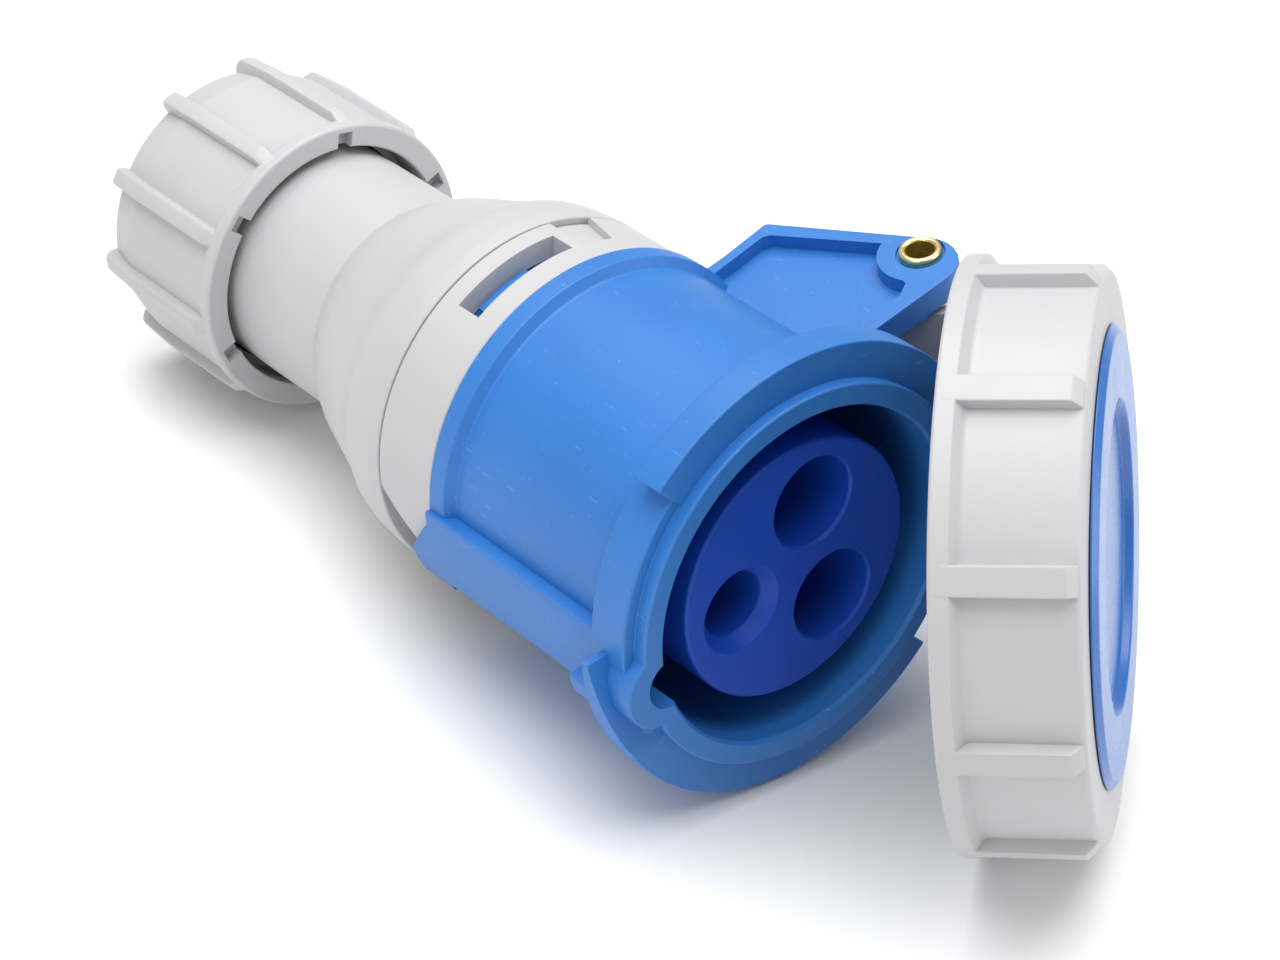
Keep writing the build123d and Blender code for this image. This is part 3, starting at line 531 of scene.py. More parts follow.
@dataclass(frozen=True)
class MouldedPlastic:
    """Matt moulded plastic with a fine grain, faint flow marks, dust and hair scratches."""

    name: str
    slot: str
    colour: Colour
    light: Colour
    dust: Colour
    roughness: float = 0.38
    dust_share: float = 0.22
    scratch_share: float = 0.24
    specular: float = 0.5

    # Scales of the noises to the metre, depth of the grain in metres, and for each way of the
    # hairs the stretch, the turn and the noise values between which a hair rises.
    flow_share: float = 0.6
    flow_scale: float = 45.0
    cloud_scale: float = 160.0
    speck_scale: float = 2100.0
    grain_scale: float = 5200.0
    grain_depth: float = 0.000012
    hairs: tuple[tuple[Point, Point, Span], ...] = (
        ((260, 2600, 2600), (0.3, 0.9, 0.5), (0.757, 0.785)),
        ((2400, 300, 2400), (1.1, 0.2, 0.7), (0.762, 0.79)))

    def material(self) -> bpy.types.Material:
        """Material of this finish: hairs are noise stretched two ways, cut off at its peaks.

        Returns:
            The new material.
        """
        make = Finisher(self.name)
        plain = make.place()
        flow = make.noise(plain, self.flow_scale, 2, 0.5).step(0.35, 0.7)
        cloud = make.noise(plain, self.cloud_scale, 3, 0.6)
        grain = make.noise(plain, self.grain_scale, 2, 0.6)
        specks = make.noise(plain, self.speck_scale, 1, 0.4).step(0.77, 0.83) * self.dust_share
        lengthwise, crosswise = (make.noise(make.place(scale, turn), 1, 1, 0.3).step(*peak)
                                 for scale, turn, peak in self.hairs)
        hair = (lengthwise + crosswise) * self.scratch_share
        colour = make.mix(flow * self.flow_share, self.colour, self.light)
        colour = make.mix(specks + hair, colour, self.dust)
        rough = self.roughness + cloud * 0.1 + grain * 0.06
        make.feed(Base_Color=colour, Roughness=rough, Specular_IOR_Level=self.specular)
        make.feed(Normal=make.bump(grain + hair * 0.8, self.grain_depth, 0.8))
        return make.material


@dataclass(frozen=True)
class BareMetal:
    """Turned or drawn metal with fine marks and a little tarnish."""

    name: str
    slot: str
    colour: Colour
    tarnish: Colour
    roughness: float = 0.22
    mark_scale: Point = (400, 400, 6000)
    mark_depth: float = 0.000008
    stain_scale: float = 420.0

    def material(self) -> bpy.types.Material:
        """Material of this finish.

        Returns:
            The new material.
        """
        make = Finisher(self.name)
        marks = make.noise(make.place(self.mark_scale), 1, 2, 0.5)
        stain = make.noise(make.place(), self.stain_scale, 3, 0.6).step(0.5, 0.75) * 0.5
        rough = self.roughness + marks * 0.12 + stain * 0.15
        make.feed(Base_Color=make.mix(stain, self.colour, self.tarnish), Roughness=rough, Metallic=1.0)
        make.feed(Normal=make.bump(marks, self.mark_depth, 0.6))
        return make.material


@dataclass(frozen=True)
class SoftRubber:
    """Black moulded rubber with a dull bloom."""

    name: str
    slot: str
    colour: Colour
    bloom: Colour
    roughness: float = 0.62
    bloom_scale: float = 260.0
    grain_scale: float = 3000.0
    grain_depth: float = 0.00002

    def material(self) -> bpy.types.Material:
        """Material of this finish.

        Returns:
            The new material.
        """
        make = Finisher(self.name)
        plain = make.place()
        bloom = make.noise(plain, self.bloom_scale, 4, 0.6).step(0.4, 0.75) * 0.6
        grain = make.noise(plain, self.grain_scale, 2, 0.5)
        make.feed(Base_Color=make.mix(bloom, self.colour, self.bloom))
        make.feed(Roughness=self.roughness + grain * 0.2, Normal=make.bump(grain, self.grain_depth, 0.8))
        return make.material


BLUE = MouldedPlastic("blue_moulding", "blue_plastic", rgb(0.020, 0.150, 0.47), rgb(0.026, 0.178, 0.53),
                      rgb(0.26, 0.44, 0.80))
# Darker, more saturated copy of the housing's blue for the insert and its retainer: the darkness is partly
# the insert's own tone and partly painted shade of the deep mouth it sits in.
INSERT_BLUE_WITH_PAINTED_SHADE = MouldedPlastic("insert_moulding_painted_shade", "dark_blue_plastic", rgb(0.005, 0.052, 0.40),
                           rgb(0.006, 0.064, 0.45), rgb(0.12, 0.22, 0.55),
                           dust_share=0.15, scratch_share=0.1, specular=0.3)
DISC_BLUE = MouldedPlastic("disc_moulding", "blue_plastic", rgb(0.018, 0.130, 0.44),
                           rgb(0.022, 0.150, 0.49), rgb(0.26, 0.44, 0.80),
                           roughness=0.2, dust_share=0.15, scratch_share=0.2, specular=0.7)
GREY = MouldedPlastic("grey_moulding", "grey_plastic", rgb(0.465, 0.462, 0.472), rgb(0.495, 0.492, 0.50),
                      rgb(0.38, 0.38, 0.39), dust_share=0.12, scratch_share=0.08)
BRASS = BareMetal("brass", "brass", rgb(0.96, 0.80, 0.36), rgb(0.72, 0.54, 0.20))
STEEL = BareMetal("spring_wire", "spring_steel", rgb(0.42, 0.42, 0.44), rgb(0.25, 0.24, 0.24))
ZINC = BareMetal("zinc_plate", "plated_steel", rgb(0.70, 0.70, 0.72), rgb(0.50, 0.48, 0.42), 0.3)
RUBBER = SoftRubber("black_rubber", "rubber", rgb(0.018, 0.018, 0.020), rgb(0.06, 0.06, 0.06))
FINISHES = (BLUE, INSERT_BLUE_WITH_PAINTED_SHADE, DISC_BLUE, GREY, BRASS, STEEL, ZINC, RUBBER)
Finish = MouldedPlastic | BareMetal | SoftRubber


class Workshop:
    """Turns stocks into finished pieces of the frame."""

    smooth_angle = math.radians(32)

    def __init__(self, frame: dict, axes: Axes) -> None:
        """Keep the frame and the coupler's axes, and make every finish once.

        Args:
            frame: what the frame's loader gave.
            axes: the coupler's own axes.
        """
        self.frame = frame
        self.axes = axes
        self.made = {finish.name: finish.material() for finish in FINISHES}
        bodies = frame["record"]["behaviour"]["bodies"]
        self.body = {node: body for body, nodes in bodies.items() for node in nodes}

    def piece(self, name: str, stock: Stock, finish: Finish, node: str,
              turn: Matrix | None = None) -> bpy.types.Object:
        """Carry a stock into the frame in place of a node.

        Args:
            name: name of the piece.
            stock: its shape, in the coupler's own axes.
            finish: the finish it gets.
            node: the node that it replaces, whose body it rides on.
            turn: transform in the coupler's own axes, such as the opened cap's.

        Returns:
            The finished piece.
        """
        shape = stock.moved(turn) if turn is not None else stock
        piece = shape.object(name)
        piece.data.transform(self.axes.matrix())
        self.dress(piece, finish)
        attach(piece, self.body[node])
        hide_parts(node)
        LOG.info("%s: %d faces", name, len(piece.data.polygons))
        return piece

    def dress(self, piece: bpy.types.Object, finish: Finish) -> None:
        """Give a piece its material and smooth shading with sharp edges kept.

        Args:
            piece: mesh object in the frame.
            finish: the finish it gets.
        """
        piece.data.materials.clear()
        piece.data.materials.append(self.made[finish.name])
        piece.data.polygons.foreach_set("use_smooth", [True] * len(piece.data.polygons))
        piece.data.set_sharp_from_angle(angle=self.smooth_angle)
        weighting = piece.modifiers.new("weighting", "WEIGHTED_NORMAL")
        weighting.keep_sharp = True
        settle(piece)

    def dress_node(self, node: str, finish: Finish) -> None:
        """Give a carried-over node its material.

        Args:
            node: name of the node.
            finish: the finish it gets.
        """
        target = self.frame["nodes"][node]
        if target.material_slots:
            for place in target.material_slots:
                place.material = self.made[finish.name]
        else:
            target.data.materials.append(self.made[finish.name])
        LOG.info("%s: finish %s", node, finish.name)


@dataclass
class Hinge:
    """Where the cap swings, how its pin leans and how far it stands open."""

    x: float = -21.4
    y: float = 40.95
    lean: float = 3.3
    open_angle: float = 39.85

    def place(self) -> Matrix:
        """Transform that carries the z axis onto the pin."""
        lean = Matrix.Rotation(math.radians(-self.lean), 4, "X")
        return Matrix.Translation((self.x, self.y, 0)) @ lean

    def swing(self) -> Matrix:
        """Transform of the cap from shut to its place in the photograph."""
        there = self.place()
        return there @ Matrix.Rotation(math.radians(self.open_angle), 4, "Z") @ there.inverted()

    def upright(self, loop: Loop) -> Stock:
        """Outline of (height, radius) points carried round the pin."""
        return Stock.lathe(loop, Turns.FINE).moved(self.place() @ Matrix.Rotation(-math.pi / 2, 4, "Y"))

    def pin(self, radius: float, low: float, high: float, edge: float = 0.0) -> Stock:
        """Cylinder round the pin between two heights."""
        return self.upright(rounded([(low, 0), (low, radius, edge), (high, radius, edge), (high, 0)]))


@dataclass
class FrontHousing:
    """Blue housing: mouth, collar, bayonet flange, barrel, keyway, hinge block and skirt."""

    # Mouth, collar, barrel, ledge for the insert, and skirt.
    core: float = 11.95
    bore: float = 22.55
    bore_depth: float = 36.0
    taper: float = 0.4
    taper_depth: float = 0.45
    lip: float = 25.6
    lip_length: float = 1.9
    collar: float = 27.3
    collar_end: float = 7.9
    barrel: float = 24.45
    length: float = 41.6
    rear_flange: float = 25.8
    rear_flange_width: float = 2.9
    rear_slope: float = 1.0
    skirt: float = 22.0
    skirt_inner: float = 20.4
    skirt_end: float = 54.0
    ledge: float = 17.95
    ledge_end: float = 38.5
    edge: float = 0.25
    bevel: float = 0.3

    # Bayonet flange, its lead-in wedge and the nub at its gap.
    flange: float = 30.3
    flange_front: float = 1.6
    flange_rear: float = 6.2
    flange_bevel: float = 0.22
    upper_flange: Span = (20.0, 123.4)
    lower_flange: Span = (170.0, 303.0)
    ramp_depth: float = 3.4
    ramp_angle: float = 25.0
    nub: Span = (181.0, 187.0)
    nub_front: float = 7.0
    nub_rear: float = 11.0
    nub_top: float = 29.3

    # Keyway, the rib over it and the rib's tongue.
    key_angle: float = 181.3
    key_centre: float = 22.1
    key: float = 3.48
    bulge: float = 5.6
    bulge_centre: float = 23.1
    rib: float = 26.55
    rib_half_angle: float = 14.0
    tongue_length: float = 5.2
    tongue: Span = (173.0, 197.0)
    tongue_slant: float = 14.0
    tongue_trim: Span = (140.0, 225.0)
    tongue_floor: float = 25.7

    # Hinge block, its slot and the rivet's hole. Roots, heights and floors are y.
    block_half: float = 12.3
    block_front: float = 15.1
    block_root: float = 12.0
    block_lean: float = 0.6
    block_rear_height: float = 33.7
    block_top_angle: float = 29.6
    block_nose: float = 5.0
    slot_half: float = 8.7
    slot_rear: float = 26.9
    slot_floor: float = 27.45
    pin_hole: float = 2.35
    sink: float = 3.2
    sink_depth: float = 0.45

    # Pockets of the cheeks: the walls round them, and steps and crest as seen from the rivet.
    pocket_depth: float = 2.0
    pocket_root: float = 17.0
    pocket_rear: float = 1.3
    pocket_roof: float = 1.4
    pocket_front: float = 2.3
    pocket_step: float = 4.4
    pocket_notch: Span = (-1.2, 5.6)
    pocket_crest: Span = (2.9, 36.3)
    pocket_nose: float = 34.2
    pocket_boss: float = 5.6
    pocket_heel: Point = (0.7, 0.4, 1.0)

    # Snap lugs on the skirt.
    lug: Span = (87.0, 107.0)
    lug_front: float = 45.8
    lug_rear: float = 49.2
    lug_top: float = 22.9
    lug_count: int = 3

    def shell(self) -> Stock:
        """Turned outside of the housing, before the mouth is bored."""
        start = self.length - self.rear_flange_width
        return Stock.lathe(profile([
            (self.skirt_end, self.core), (self.skirt_end, self.skirt, 0.3), (self.length, self.skirt),
            (self.length, self.rear_flange, 0.3), (start, self.rear_flange, 0.35),
            (start - self.rear_slope, self.barrel, 0.5), (self.collar_end, self.barrel, 0.4),
            (self.collar_end, self.collar, 0.35), (self.lip_length, self.collar, 0.3),
            (self.lip_length, self.lip, 0.15), (0, self.lip, 0.35), (0, self.core)]))

    def bored(self) -> Stock:
        """What is bored out of the housing: mouth, ledge and skirt."""
        rear, core, mouth = self.skirt_end + OVER, self.core - OVER, self.bore + self.taper
        return Stock.lathe(profile([
            (rear, core), (rear, self.skirt_inner), (self.ledge_end, self.skirt_inner, 0.2),
            (self.ledge_end, self.ledge), (self.bore_depth, self.ledge, 0.2),
            (self.bore_depth, self.bore, 0.4), (self.taper_depth, self.bore, 0.2), (0, mouth, 0.1),
            (-OVER, mouth), (-OVER, core)]))

    def flange_segment(self, angles: Span) -> Stock:
        """One segment of the bayonet flange.

        Args:
            angles: its first and last angle in degrees.

        Returns:
            The segment.
        """
        root = self.barrel - OVER
        loop = band(self.flange_rear, self.flange_front, root, self.flange, self.edge)
        return Stock.sector(loop, *angles, self.flange_bevel)

    def ramp(self) -> Stock:
        """Wedge cut from the first end of the lower flange segment.

        Returns:
            The wedge.
        """
        length = self.flange * math.radians(self.ramp_angle)
        front = -self.flange_front
        start = front - self.ramp_depth * (1 + OVER / length)
        loop = np.array([(start, OVER), (front + OVER, OVER), (front + OVER, -length), (front, -length)])
        return Stock.tangent(loop, self.collar - REACH, self.flange + REACH, self.lower_flange[0])

    def key_parts(self) -> tuple[Stock, Stock, Stock]:
        """Rib over the keyway, bulge of the mouth round it, and the keyway itself.

        Returns:
            The rib, the bulge and the keyway.
        """
        front, root = self.collar_end - OVER, self.barrel - OVER
        loop = profile([(self.length, root), (self.length, self.rib, self.bevel), (front, self.rib),
                        (front, root)])
        rib = Stock.sector(loop, self.key_angle - self.rib_half_angle, self.key_angle + self.rib_half_angle,
                           self.bevel)
        bulge = Stock.rod(self.bulge, self.collar_end, 0, self.bevel).at(self.key_angle, self.bulge_centre)
        keyway = Stock.rod(self.key, self.bore_depth, -OVER).at(self.key_angle, self.key_centre)
        return rib, bulge, keyway

    def tongue_part(self) -> Stock:
        """Tongue of the rib that reaches back over the locking collar, with a slanted end.

        Returns:
            The tongue.
        """
        end = self.length + self.tongue_length
        per_degree = math.radians(1) * self.rib
        low, high = ((angle - self.key_angle) * per_degree for angle in self.tongue)
        slant = self.tongue_slant * per_degree
        front = -self.length + OVER
        outline = rounded([(front, -high), (-end, -high, 0.3), (-end, -low - slant, 0.3),
                           (-self.length - 0.3, -low, 0.2), (front, -low)])
        sheet = Stock.tangent(outline, self.tongue_floor - REACH, self.rib + REACH, self.key_angle)
        trims = ((self.rib, self.rib + 2 * REACH), (self.tongue_floor - 2 * REACH, self.tongue_floor))
        return sheet.cut(*(Stock.sector(band(end + REACH, self.length - REACH, *radii), *self.tongue_trim)
                           for radii in trims))

    def block_outline(self) -> Loop:
        """Side view of the hinge block.

        Returns:
            Array of (x, y) points.
        """
        slope = math.tan(math.radians(self.block_top_angle))
        top = self.block_rear_height + (self.length - self.block_front) * slope
        return rounded([(-self.length, self.block_root), (-self.length, self.rear_flange),
                        (-self.length - self.block_lean, self.block_rear_height, 0.8),
                        (-self.block_front, top, self.block_nose), (-self.block_front, self.block_root)], 12)

    def pocket(self, hinge: Hinge, side: int) -> Stock:
        """Pocket in one cheek of the hinge block, bounded by the boss of the rivet.

        Args:
            hinge: where the cap swings.
            side: 1 for the cheek towards z, -1 for the other.

        Returns:
            What is cut out of the block.
        """
        slope = math.tan(math.radians(self.block_top_angle))
        rear = -self.length + self.pocket_rear
        roof = self.block_rear_height - self.pocket_roof
        front = -self.block_front - self.pocket_front
        top = roof + (hinge.x - rear) * slope
        lean, corner, drop = self.pocket_heel
        outline = rounded([
            (rear + lean, self.pocket_root), (rear, roof - drop, 0.6), (rear + corner, roof, 0.6),
            (hinge.x - self.pocket_step, top - self.pocket_step * slope, 0.2),
            (hinge.x + self.pocket_notch[0], top - self.pocket_notch[1]),
            (hinge.x + self.pocket_crest[0], self.pocket_crest[1], 0.3),
            (front, self.pocket_nose, 0.8), (front, self.pocket_root)])
        pocket = Stock.plate(outline, self.block_half - self.pocket_depth, self.block_half + OVER)
        boss = hinge.pin(self.pocket_boss, *sorted((0, side * (self.block_half + 2 * OVER))))
        return pocket.moved(Matrix.Diagonal((1, 1, side, 1))).cut(boss)

    def block(self, hinge: Hinge) -> Stock:
        """Hinge block with its slot, pockets and rivet holes.

        Args:
            hinge: where the cap swings.

        Returns:
            The hinge block.
        """
        half, ceiling = self.block_half, 2 * self.block_rear_height
        room = rounded([(-self.slot_rear, self.slot_floor, 0.5), (REACH, self.slot_floor), (REACH, ceiling),
                        (-self.slot_rear, ceiling)])
        hole = hinge.pin(self.pin_hole, -half - OVER, half + OVER)
        sinks = [hinge.pin(self.sink, side * half - self.sink_depth, side * half + self.sink_depth)
                 for side in (1, -1)]
        core = Stock.rod((self.bore + self.barrel) / 2, self.length + OVER, -OVER, turns=Turns.SMOOTH)
        body = Stock.slab(self.block_outline(), half, self.bevel)
        return body.cut(Stock.slab(room, self.slot_half), self.pocket(hinge, 1), self.pocket(hinge, -1),
                        hole, *sinks, core)

    def build(self, shop: Workshop, hinge: Hinge) -> None:
        """Make the housing in place of its node.

        Args:
            shop: where the pieces are made and dressed.
            hinge: where the cap swings.
        """
        rib, bulge, keyway = self.key_parts()
        upper = self.flange_segment(self.upper_flange)
        lower = self.flange_segment(self.lower_flange).cut(self.ramp())
        nub = Stock.sector(band(self.nub_rear, self.nub_front, self.barrel - OVER, self.nub_top),
                           *self.nub, self.edge)
        lug = Stock.sector(band(self.lug_rear, self.lug_front, self.skirt - OVER, self.lug_top, self.edge),
                           *self.lug)
        body = self.shell().add(upper, lower, nub, rib, self.tongue_part(), bulge, self.block(hinge),
                                *lug.spread(self.lug_count))
        shop.piece("blue_housing", body.cut(self.bored(), keyway), BLUE, "front_housing")


@dataclass
class ContactInsert:
    """Insert with its three wells, in a dark blue that is partly its own tone and partly painted shade of the
    deep mouth.
    """

    radius: float = 17.5
    front: float = 2.2
    rear: float = 41.0
    flange: float = 20.2
    flange_front: float = 38.5
    circle: float = 8.95
    neck_end: float = 14.0

    # Line and neutral wells.
    power_angles: Span = (60.0, -60.0)
    well: float = 6.05
    well_end: float = 12.0
    well_draft: float = 0.15
    well_break: float = 0.3
    well_break_depth: float = 0.35
    neck: float = 3.3
    power_seat: float = 3.85

    # Earth entry.
    earth_angle: float = 180.0
    earth_mouth: float = 5.8
    earth_break: float = 0.15
    earth_throat: float = 3.9
    earth_neck: float = 4.4
    earth_seat: float = 4.85

    def power_well(self) -> Stock:
        """Well of a line or neutral contact, with a slightly broken edge."""
        rear, front, rim = self.rear + OVER, self.front - OVER, self.well + self.well_break
        return Stock.lathe(profile([
            (rear, 0), (rear, self.power_seat), (self.neck_end, self.power_seat), (self.neck_end, self.neck),
            (self.well_end, self.neck, 0.3), (self.well_end, self.well - self.well_draft, 0.4),
            (self.front + self.well_break_depth, self.well, 0.15), (self.front, rim, 0.1), (front, rim),
            (front, 0)]),
            Turns.FINE)

    def earth_well(self) -> Stock:
        """Earth entry with its funnel."""
        rear, front, rim = self.rear + OVER, self.front - OVER, self.earth_mouth + self.earth_break
        return Stock.lathe(profile([
            (rear, 0), (rear, self.earth_seat), (self.neck_end, self.earth_seat),
            (self.neck_end, self.earth_neck), (self.earth_throat, self.earth_neck, 0.6),
            (self.front + 0.1, self.earth_mouth, 0.2), (self.front, rim), (front, rim), (front, 0)]),
            Turns.FINE)

    def build(self, shop: Workshop) -> None:
        """Make the insert in place of its node.

        Args:
            shop: where the pieces are made and dressed.
        """
        body = Stock.lathe(profile([
            (self.rear, 0), (self.rear, self.flange, 0.2), (self.flange_front, self.flange, 0.2),
            (self.flange_front, self.radius), (self.front, self.radius, 0.45), (self.front, 0)]))
        body.cut(*(self.power_well().at(angle, self.circle) for angle in self.power_angles))
        body.cut(self.earth_well().at(self.earth_angle, self.circle))
        shop.piece("insert", body, INSERT_BLUE_WITH_PAINTED_SHADE, "contact_insert")


@dataclass
class LockingCollar:
    """Grey band with three windows and three notches.

    A notch is given by the angles of its slanted wall at the rear and at the front, the angle of
    its square wall, where it starts behind the mouth, and its depth.
    """

    outer: float = 25.4
    inner: float = 22.3
    front: float = 41.85
    rear: float = 52.55
    lip_front: float = 51.45
    neck: float = 23.45
    recess: float = 24.35
    recess_front: float = 50.15
    window: Span = (75.0, 110.8)
    window_front: float = 45.5
    window_rear: float = 49.5
    window_count: int = 3
    notches: tuple[tuple[float, float, float, float, float], ...] = (
        (55.9, 60.3, 71.0, 45.5, 1.0), (171.5, 186.7, 201.0, 46.7, 2.0), (290.0, 296.0, 308.0, 45.5, 1.0))
    notch_margin: float = 12.0

    def notch(self, rear_angle: float, front_angle: float, end_angle: float, front: float,
              depth: float) -> Stock:
        """Recess with one slanted wall, open to the rear.

        Args:
            rear_angle: angle of the slanted wall at its rear end.
            front_angle: angle of the slanted wall at its front end.
            end_angle: angle of the square wall.
            front: distance of the recess behind the mouth.
            depth: depth below the outside.

        Returns:
            What is cut out of the collar.
        """
        per_degree = math.radians(1) * self.outer
        middle = (rear_angle + end_angle) / 2
        low, slanted, high = ((angle - middle) * per_degree for angle in (rear_angle, front_angle, end_angle))
        outline = rounded([(-self.rear - OVER, -high), (-self.rear - OVER, -low), (-self.rear, -low),
                           (-front, -slanted, 0.4), (-front, -high, 0.4)])
        floor = self.outer - depth
        loop = band(self.rear + REACH, front - REACH, floor - 2 * REACH, floor)
        core = Stock.sector(loop, rear_angle - self.notch_margin, end_angle + self.notch_margin)
        return Stock.tangent(outline, floor - REACH, self.outer + REACH, middle).cut(core)

    def build(self, shop: Workshop) -> None:
        """Make the collar in place of its node.

        Args:
            shop: where the pieces are made and dressed.
        """
        body = Stock.lathe(profile([
            (self.front, self.inner), (self.front, self.outer, 0.3), (self.rear, self.outer, 0.3),
            (self.rear, self.neck), (self.lip_front, self.neck), (self.lip_front, self.recess),
            (self.recess_front, self.recess), (self.recess_front, self.inner)]))
        opening = band(self.window_rear, self.window_front, self.inner - OVER, self.outer + OVER)
        body.cut(*Stock.sector(opening, *self.window).spread(self.window_count))
        body.cut(*(self.notch(*notch) for notch in self.notches))
        shop.piece("grey_collar", body, GREY, "locking_collar")


@dataclass
class RearSleeve:
    """Grey tapered sleeve between the collar and the gland nut."""

    outline: tuple[Point, ...] = (
        (52.8, 25.4, 0.3), (55.0, 25.4, 6.0), (59.9, 24.9, 8.0), (64.0, 22.95, 10.0), (71.2, 20.5, 8.0),
        (74.0, 19.5, 5.0), (76.2, 18.5, 3.0), (78.3, 17.1, 1.2), (79.3, 16.4, 1.0), (112.0, 16.4, 0.3))

    # Passage of the cable.
    neck_inner: float = 13.5
    neck_front: float = 83.3
    cone_front: float = 72.3

    # Spigot in the housing with the groove of its seal, and the hook that holds the collar.
    spigot: float = 20.1
    spigot_inner: float = 17.5
    spigot_front: float = 43.9
    groove: Span = (49.4, 51.5)
    groove_floor: float = 18.5
    skirt_gap: float = 22.3
    gap_rear: float = 54.3
    hook: float = 24.1
    hook_neck: float = 23.2
    hook_front: float = 50.4
    hook_rear: float = 51.2

    def build(self, shop: Workshop) -> None:
        """Make the sleeve in place of its node.

        Args:
            shop: where the pieces are made and dressed.
        """
        (shoulder, *_), (end, *_) = self.outline[0], self.outline[-1]
        groove_front, groove_rear = self.groove
        inside = [(self.spigot_front, self.spigot_inner, 0.1), (self.spigot_front, self.spigot, 0.3),
                  (groove_front, self.spigot), (groove_front, self.groove_floor),
                  (groove_rear, self.groove_floor), (groove_rear, self.spigot),
                  (self.gap_rear, self.spigot), (self.gap_rear, self.skirt_gap),
                  (self.hook_front, self.skirt_gap), (self.hook_front, self.hook, 0.15),
                  (self.hook_rear, self.hook, 0.15), (self.hook_rear, self.hook_neck),
                  (shoulder, self.hook_neck)]
        passage = [(end, self.neck_inner, 0.3), (self.neck_front, self.neck_inner, 1.0),
                   (self.cone_front, self.spigot_inner, 1.0)]
        loop = profile([*inside, *self.outline, *passage], steps=10)
        shop.piece("grey_sleeve", Stock.lathe(loop), GREY, "rear_sleeve")


@dataclass
class GlandNut:
    """Ribbed grey nut of the cable gland."""

    # Body, from its mouth to the entry of the cable.
    front: float = 97.3
    rear: float = 123.5
    radius: float = 20.5
    rim: float = 21.0
    rim_width: float = 2.0
    rim_slope: float = 0.4
    mouth: float = 17.7
    mouth_depth: float = 6.0
    thread: float = 16.7
    seat: float = 14.6
    seat_front: float = 113.7
    seat_end: float = 12.9
    seat_rear: float = 119.6
    shoulder: float = 115.5
    shoulder_lead: float = 2.0
    tail: float = 19.5
    tail_round: float = 1.2
    tail_drop: float = 1.6
    entry: float = 10.4

    # Grip ribs. The nose gives how far its three corners stop short of the rear.
    rib: float = 22.0
    rib_front: float = 98.5
    rib_rise: float = 2.0
    rib_tip: float = 21.5
    rib_drop: float = 1.3
    rib_nose: Point = (1.0, 0.2, 0.6)
    rib_width: float = 2.6
    rib_edge: float = 0.6
    rib_count: int = 10
    rib_angle: float = 29.5

    # Notches of the front face.
    notch_count: int = 6
    notch_angle: float = 8.0
    notch_width: float = 2.3
    notch_depth: float = 1.6
    notch_wall: float = 1.0

    def rib_part(self) -> Stock:
        """One grip rib with its blunt nose over the tail.

        Returns:
            The rib at angle zero.
        """
        root = self.radius - 2 * OVER
        tip, nose, chin = (self.rear - short for short in self.rib_nose)
        outline = profile([
            (self.rib_front, root), (self.rib_front, self.rim - 0.2, 0.3),
            (self.rib_front + self.rib_rise, self.rib - 0.1, 1.5), (self.shoulder, self.rib, 4.0),
            (tip, self.rib_tip, 1.2), (nose, self.rib_tip - self.rib_drop, 0.5),
            (chin, self.tail - 1.5 * OVER), (self.shoulder, root)])
        return Stock.slab(outline, self.rib_width / 2, self.rib_edge)

    def notch(self) -> Stock:
        """Short slot in the front face of the nut, inside its rim.

        Returns:
            What is cut out at angle zero.
        """
        front, rear = -self.front + OVER, -self.front - self.notch_depth
        low, high = self.mouth - OVER, self.rim - self.notch_wall
        outline = rounded([(front, low), (front, high), (rear, high, 0.3), (rear, low, 0.3)])
        return Stock.slab(outline, self.notch_width / 2)

    def build(self, shop: Workshop) -> None:
        """Make the nut in place of its node.

        Args:
            shop: where the pieces are made and dressed.
        """
        rim_rear, thread_front = self.front + self.rim_width, self.front + self.mouth_depth
        body = Stock.lathe(profile([
            (self.front, self.mouth, 0.3), (self.front, self.rim, 0.5), (rim_rear, self.rim, 0.4),
            (rim_rear + self.rim_slope, self.radius, 0.6),
            (self.shoulder + self.shoulder_lead, self.radius, 3.0),
            (self.rear - self.tail_round, self.tail, 1.2), (self.rear, self.tail - self.tail_drop, 0.8),
            (self.rear, self.entry, 0.6), (self.seat_rear, self.entry), (self.seat_rear, self.seat_end),
            (self.seat_front, self.seat), (self.seat_front, self.thread), (thread_front, self.thread),
            (thread_front, self.mouth)]))
        body.add(*self.rib_part().spread(self.rib_count, self.rib_angle))
        body.cut(*self.notch().spread(self.notch_count, self.notch_angle))
        shop.piece("grey_nut", body, GREY, "gland_nut")


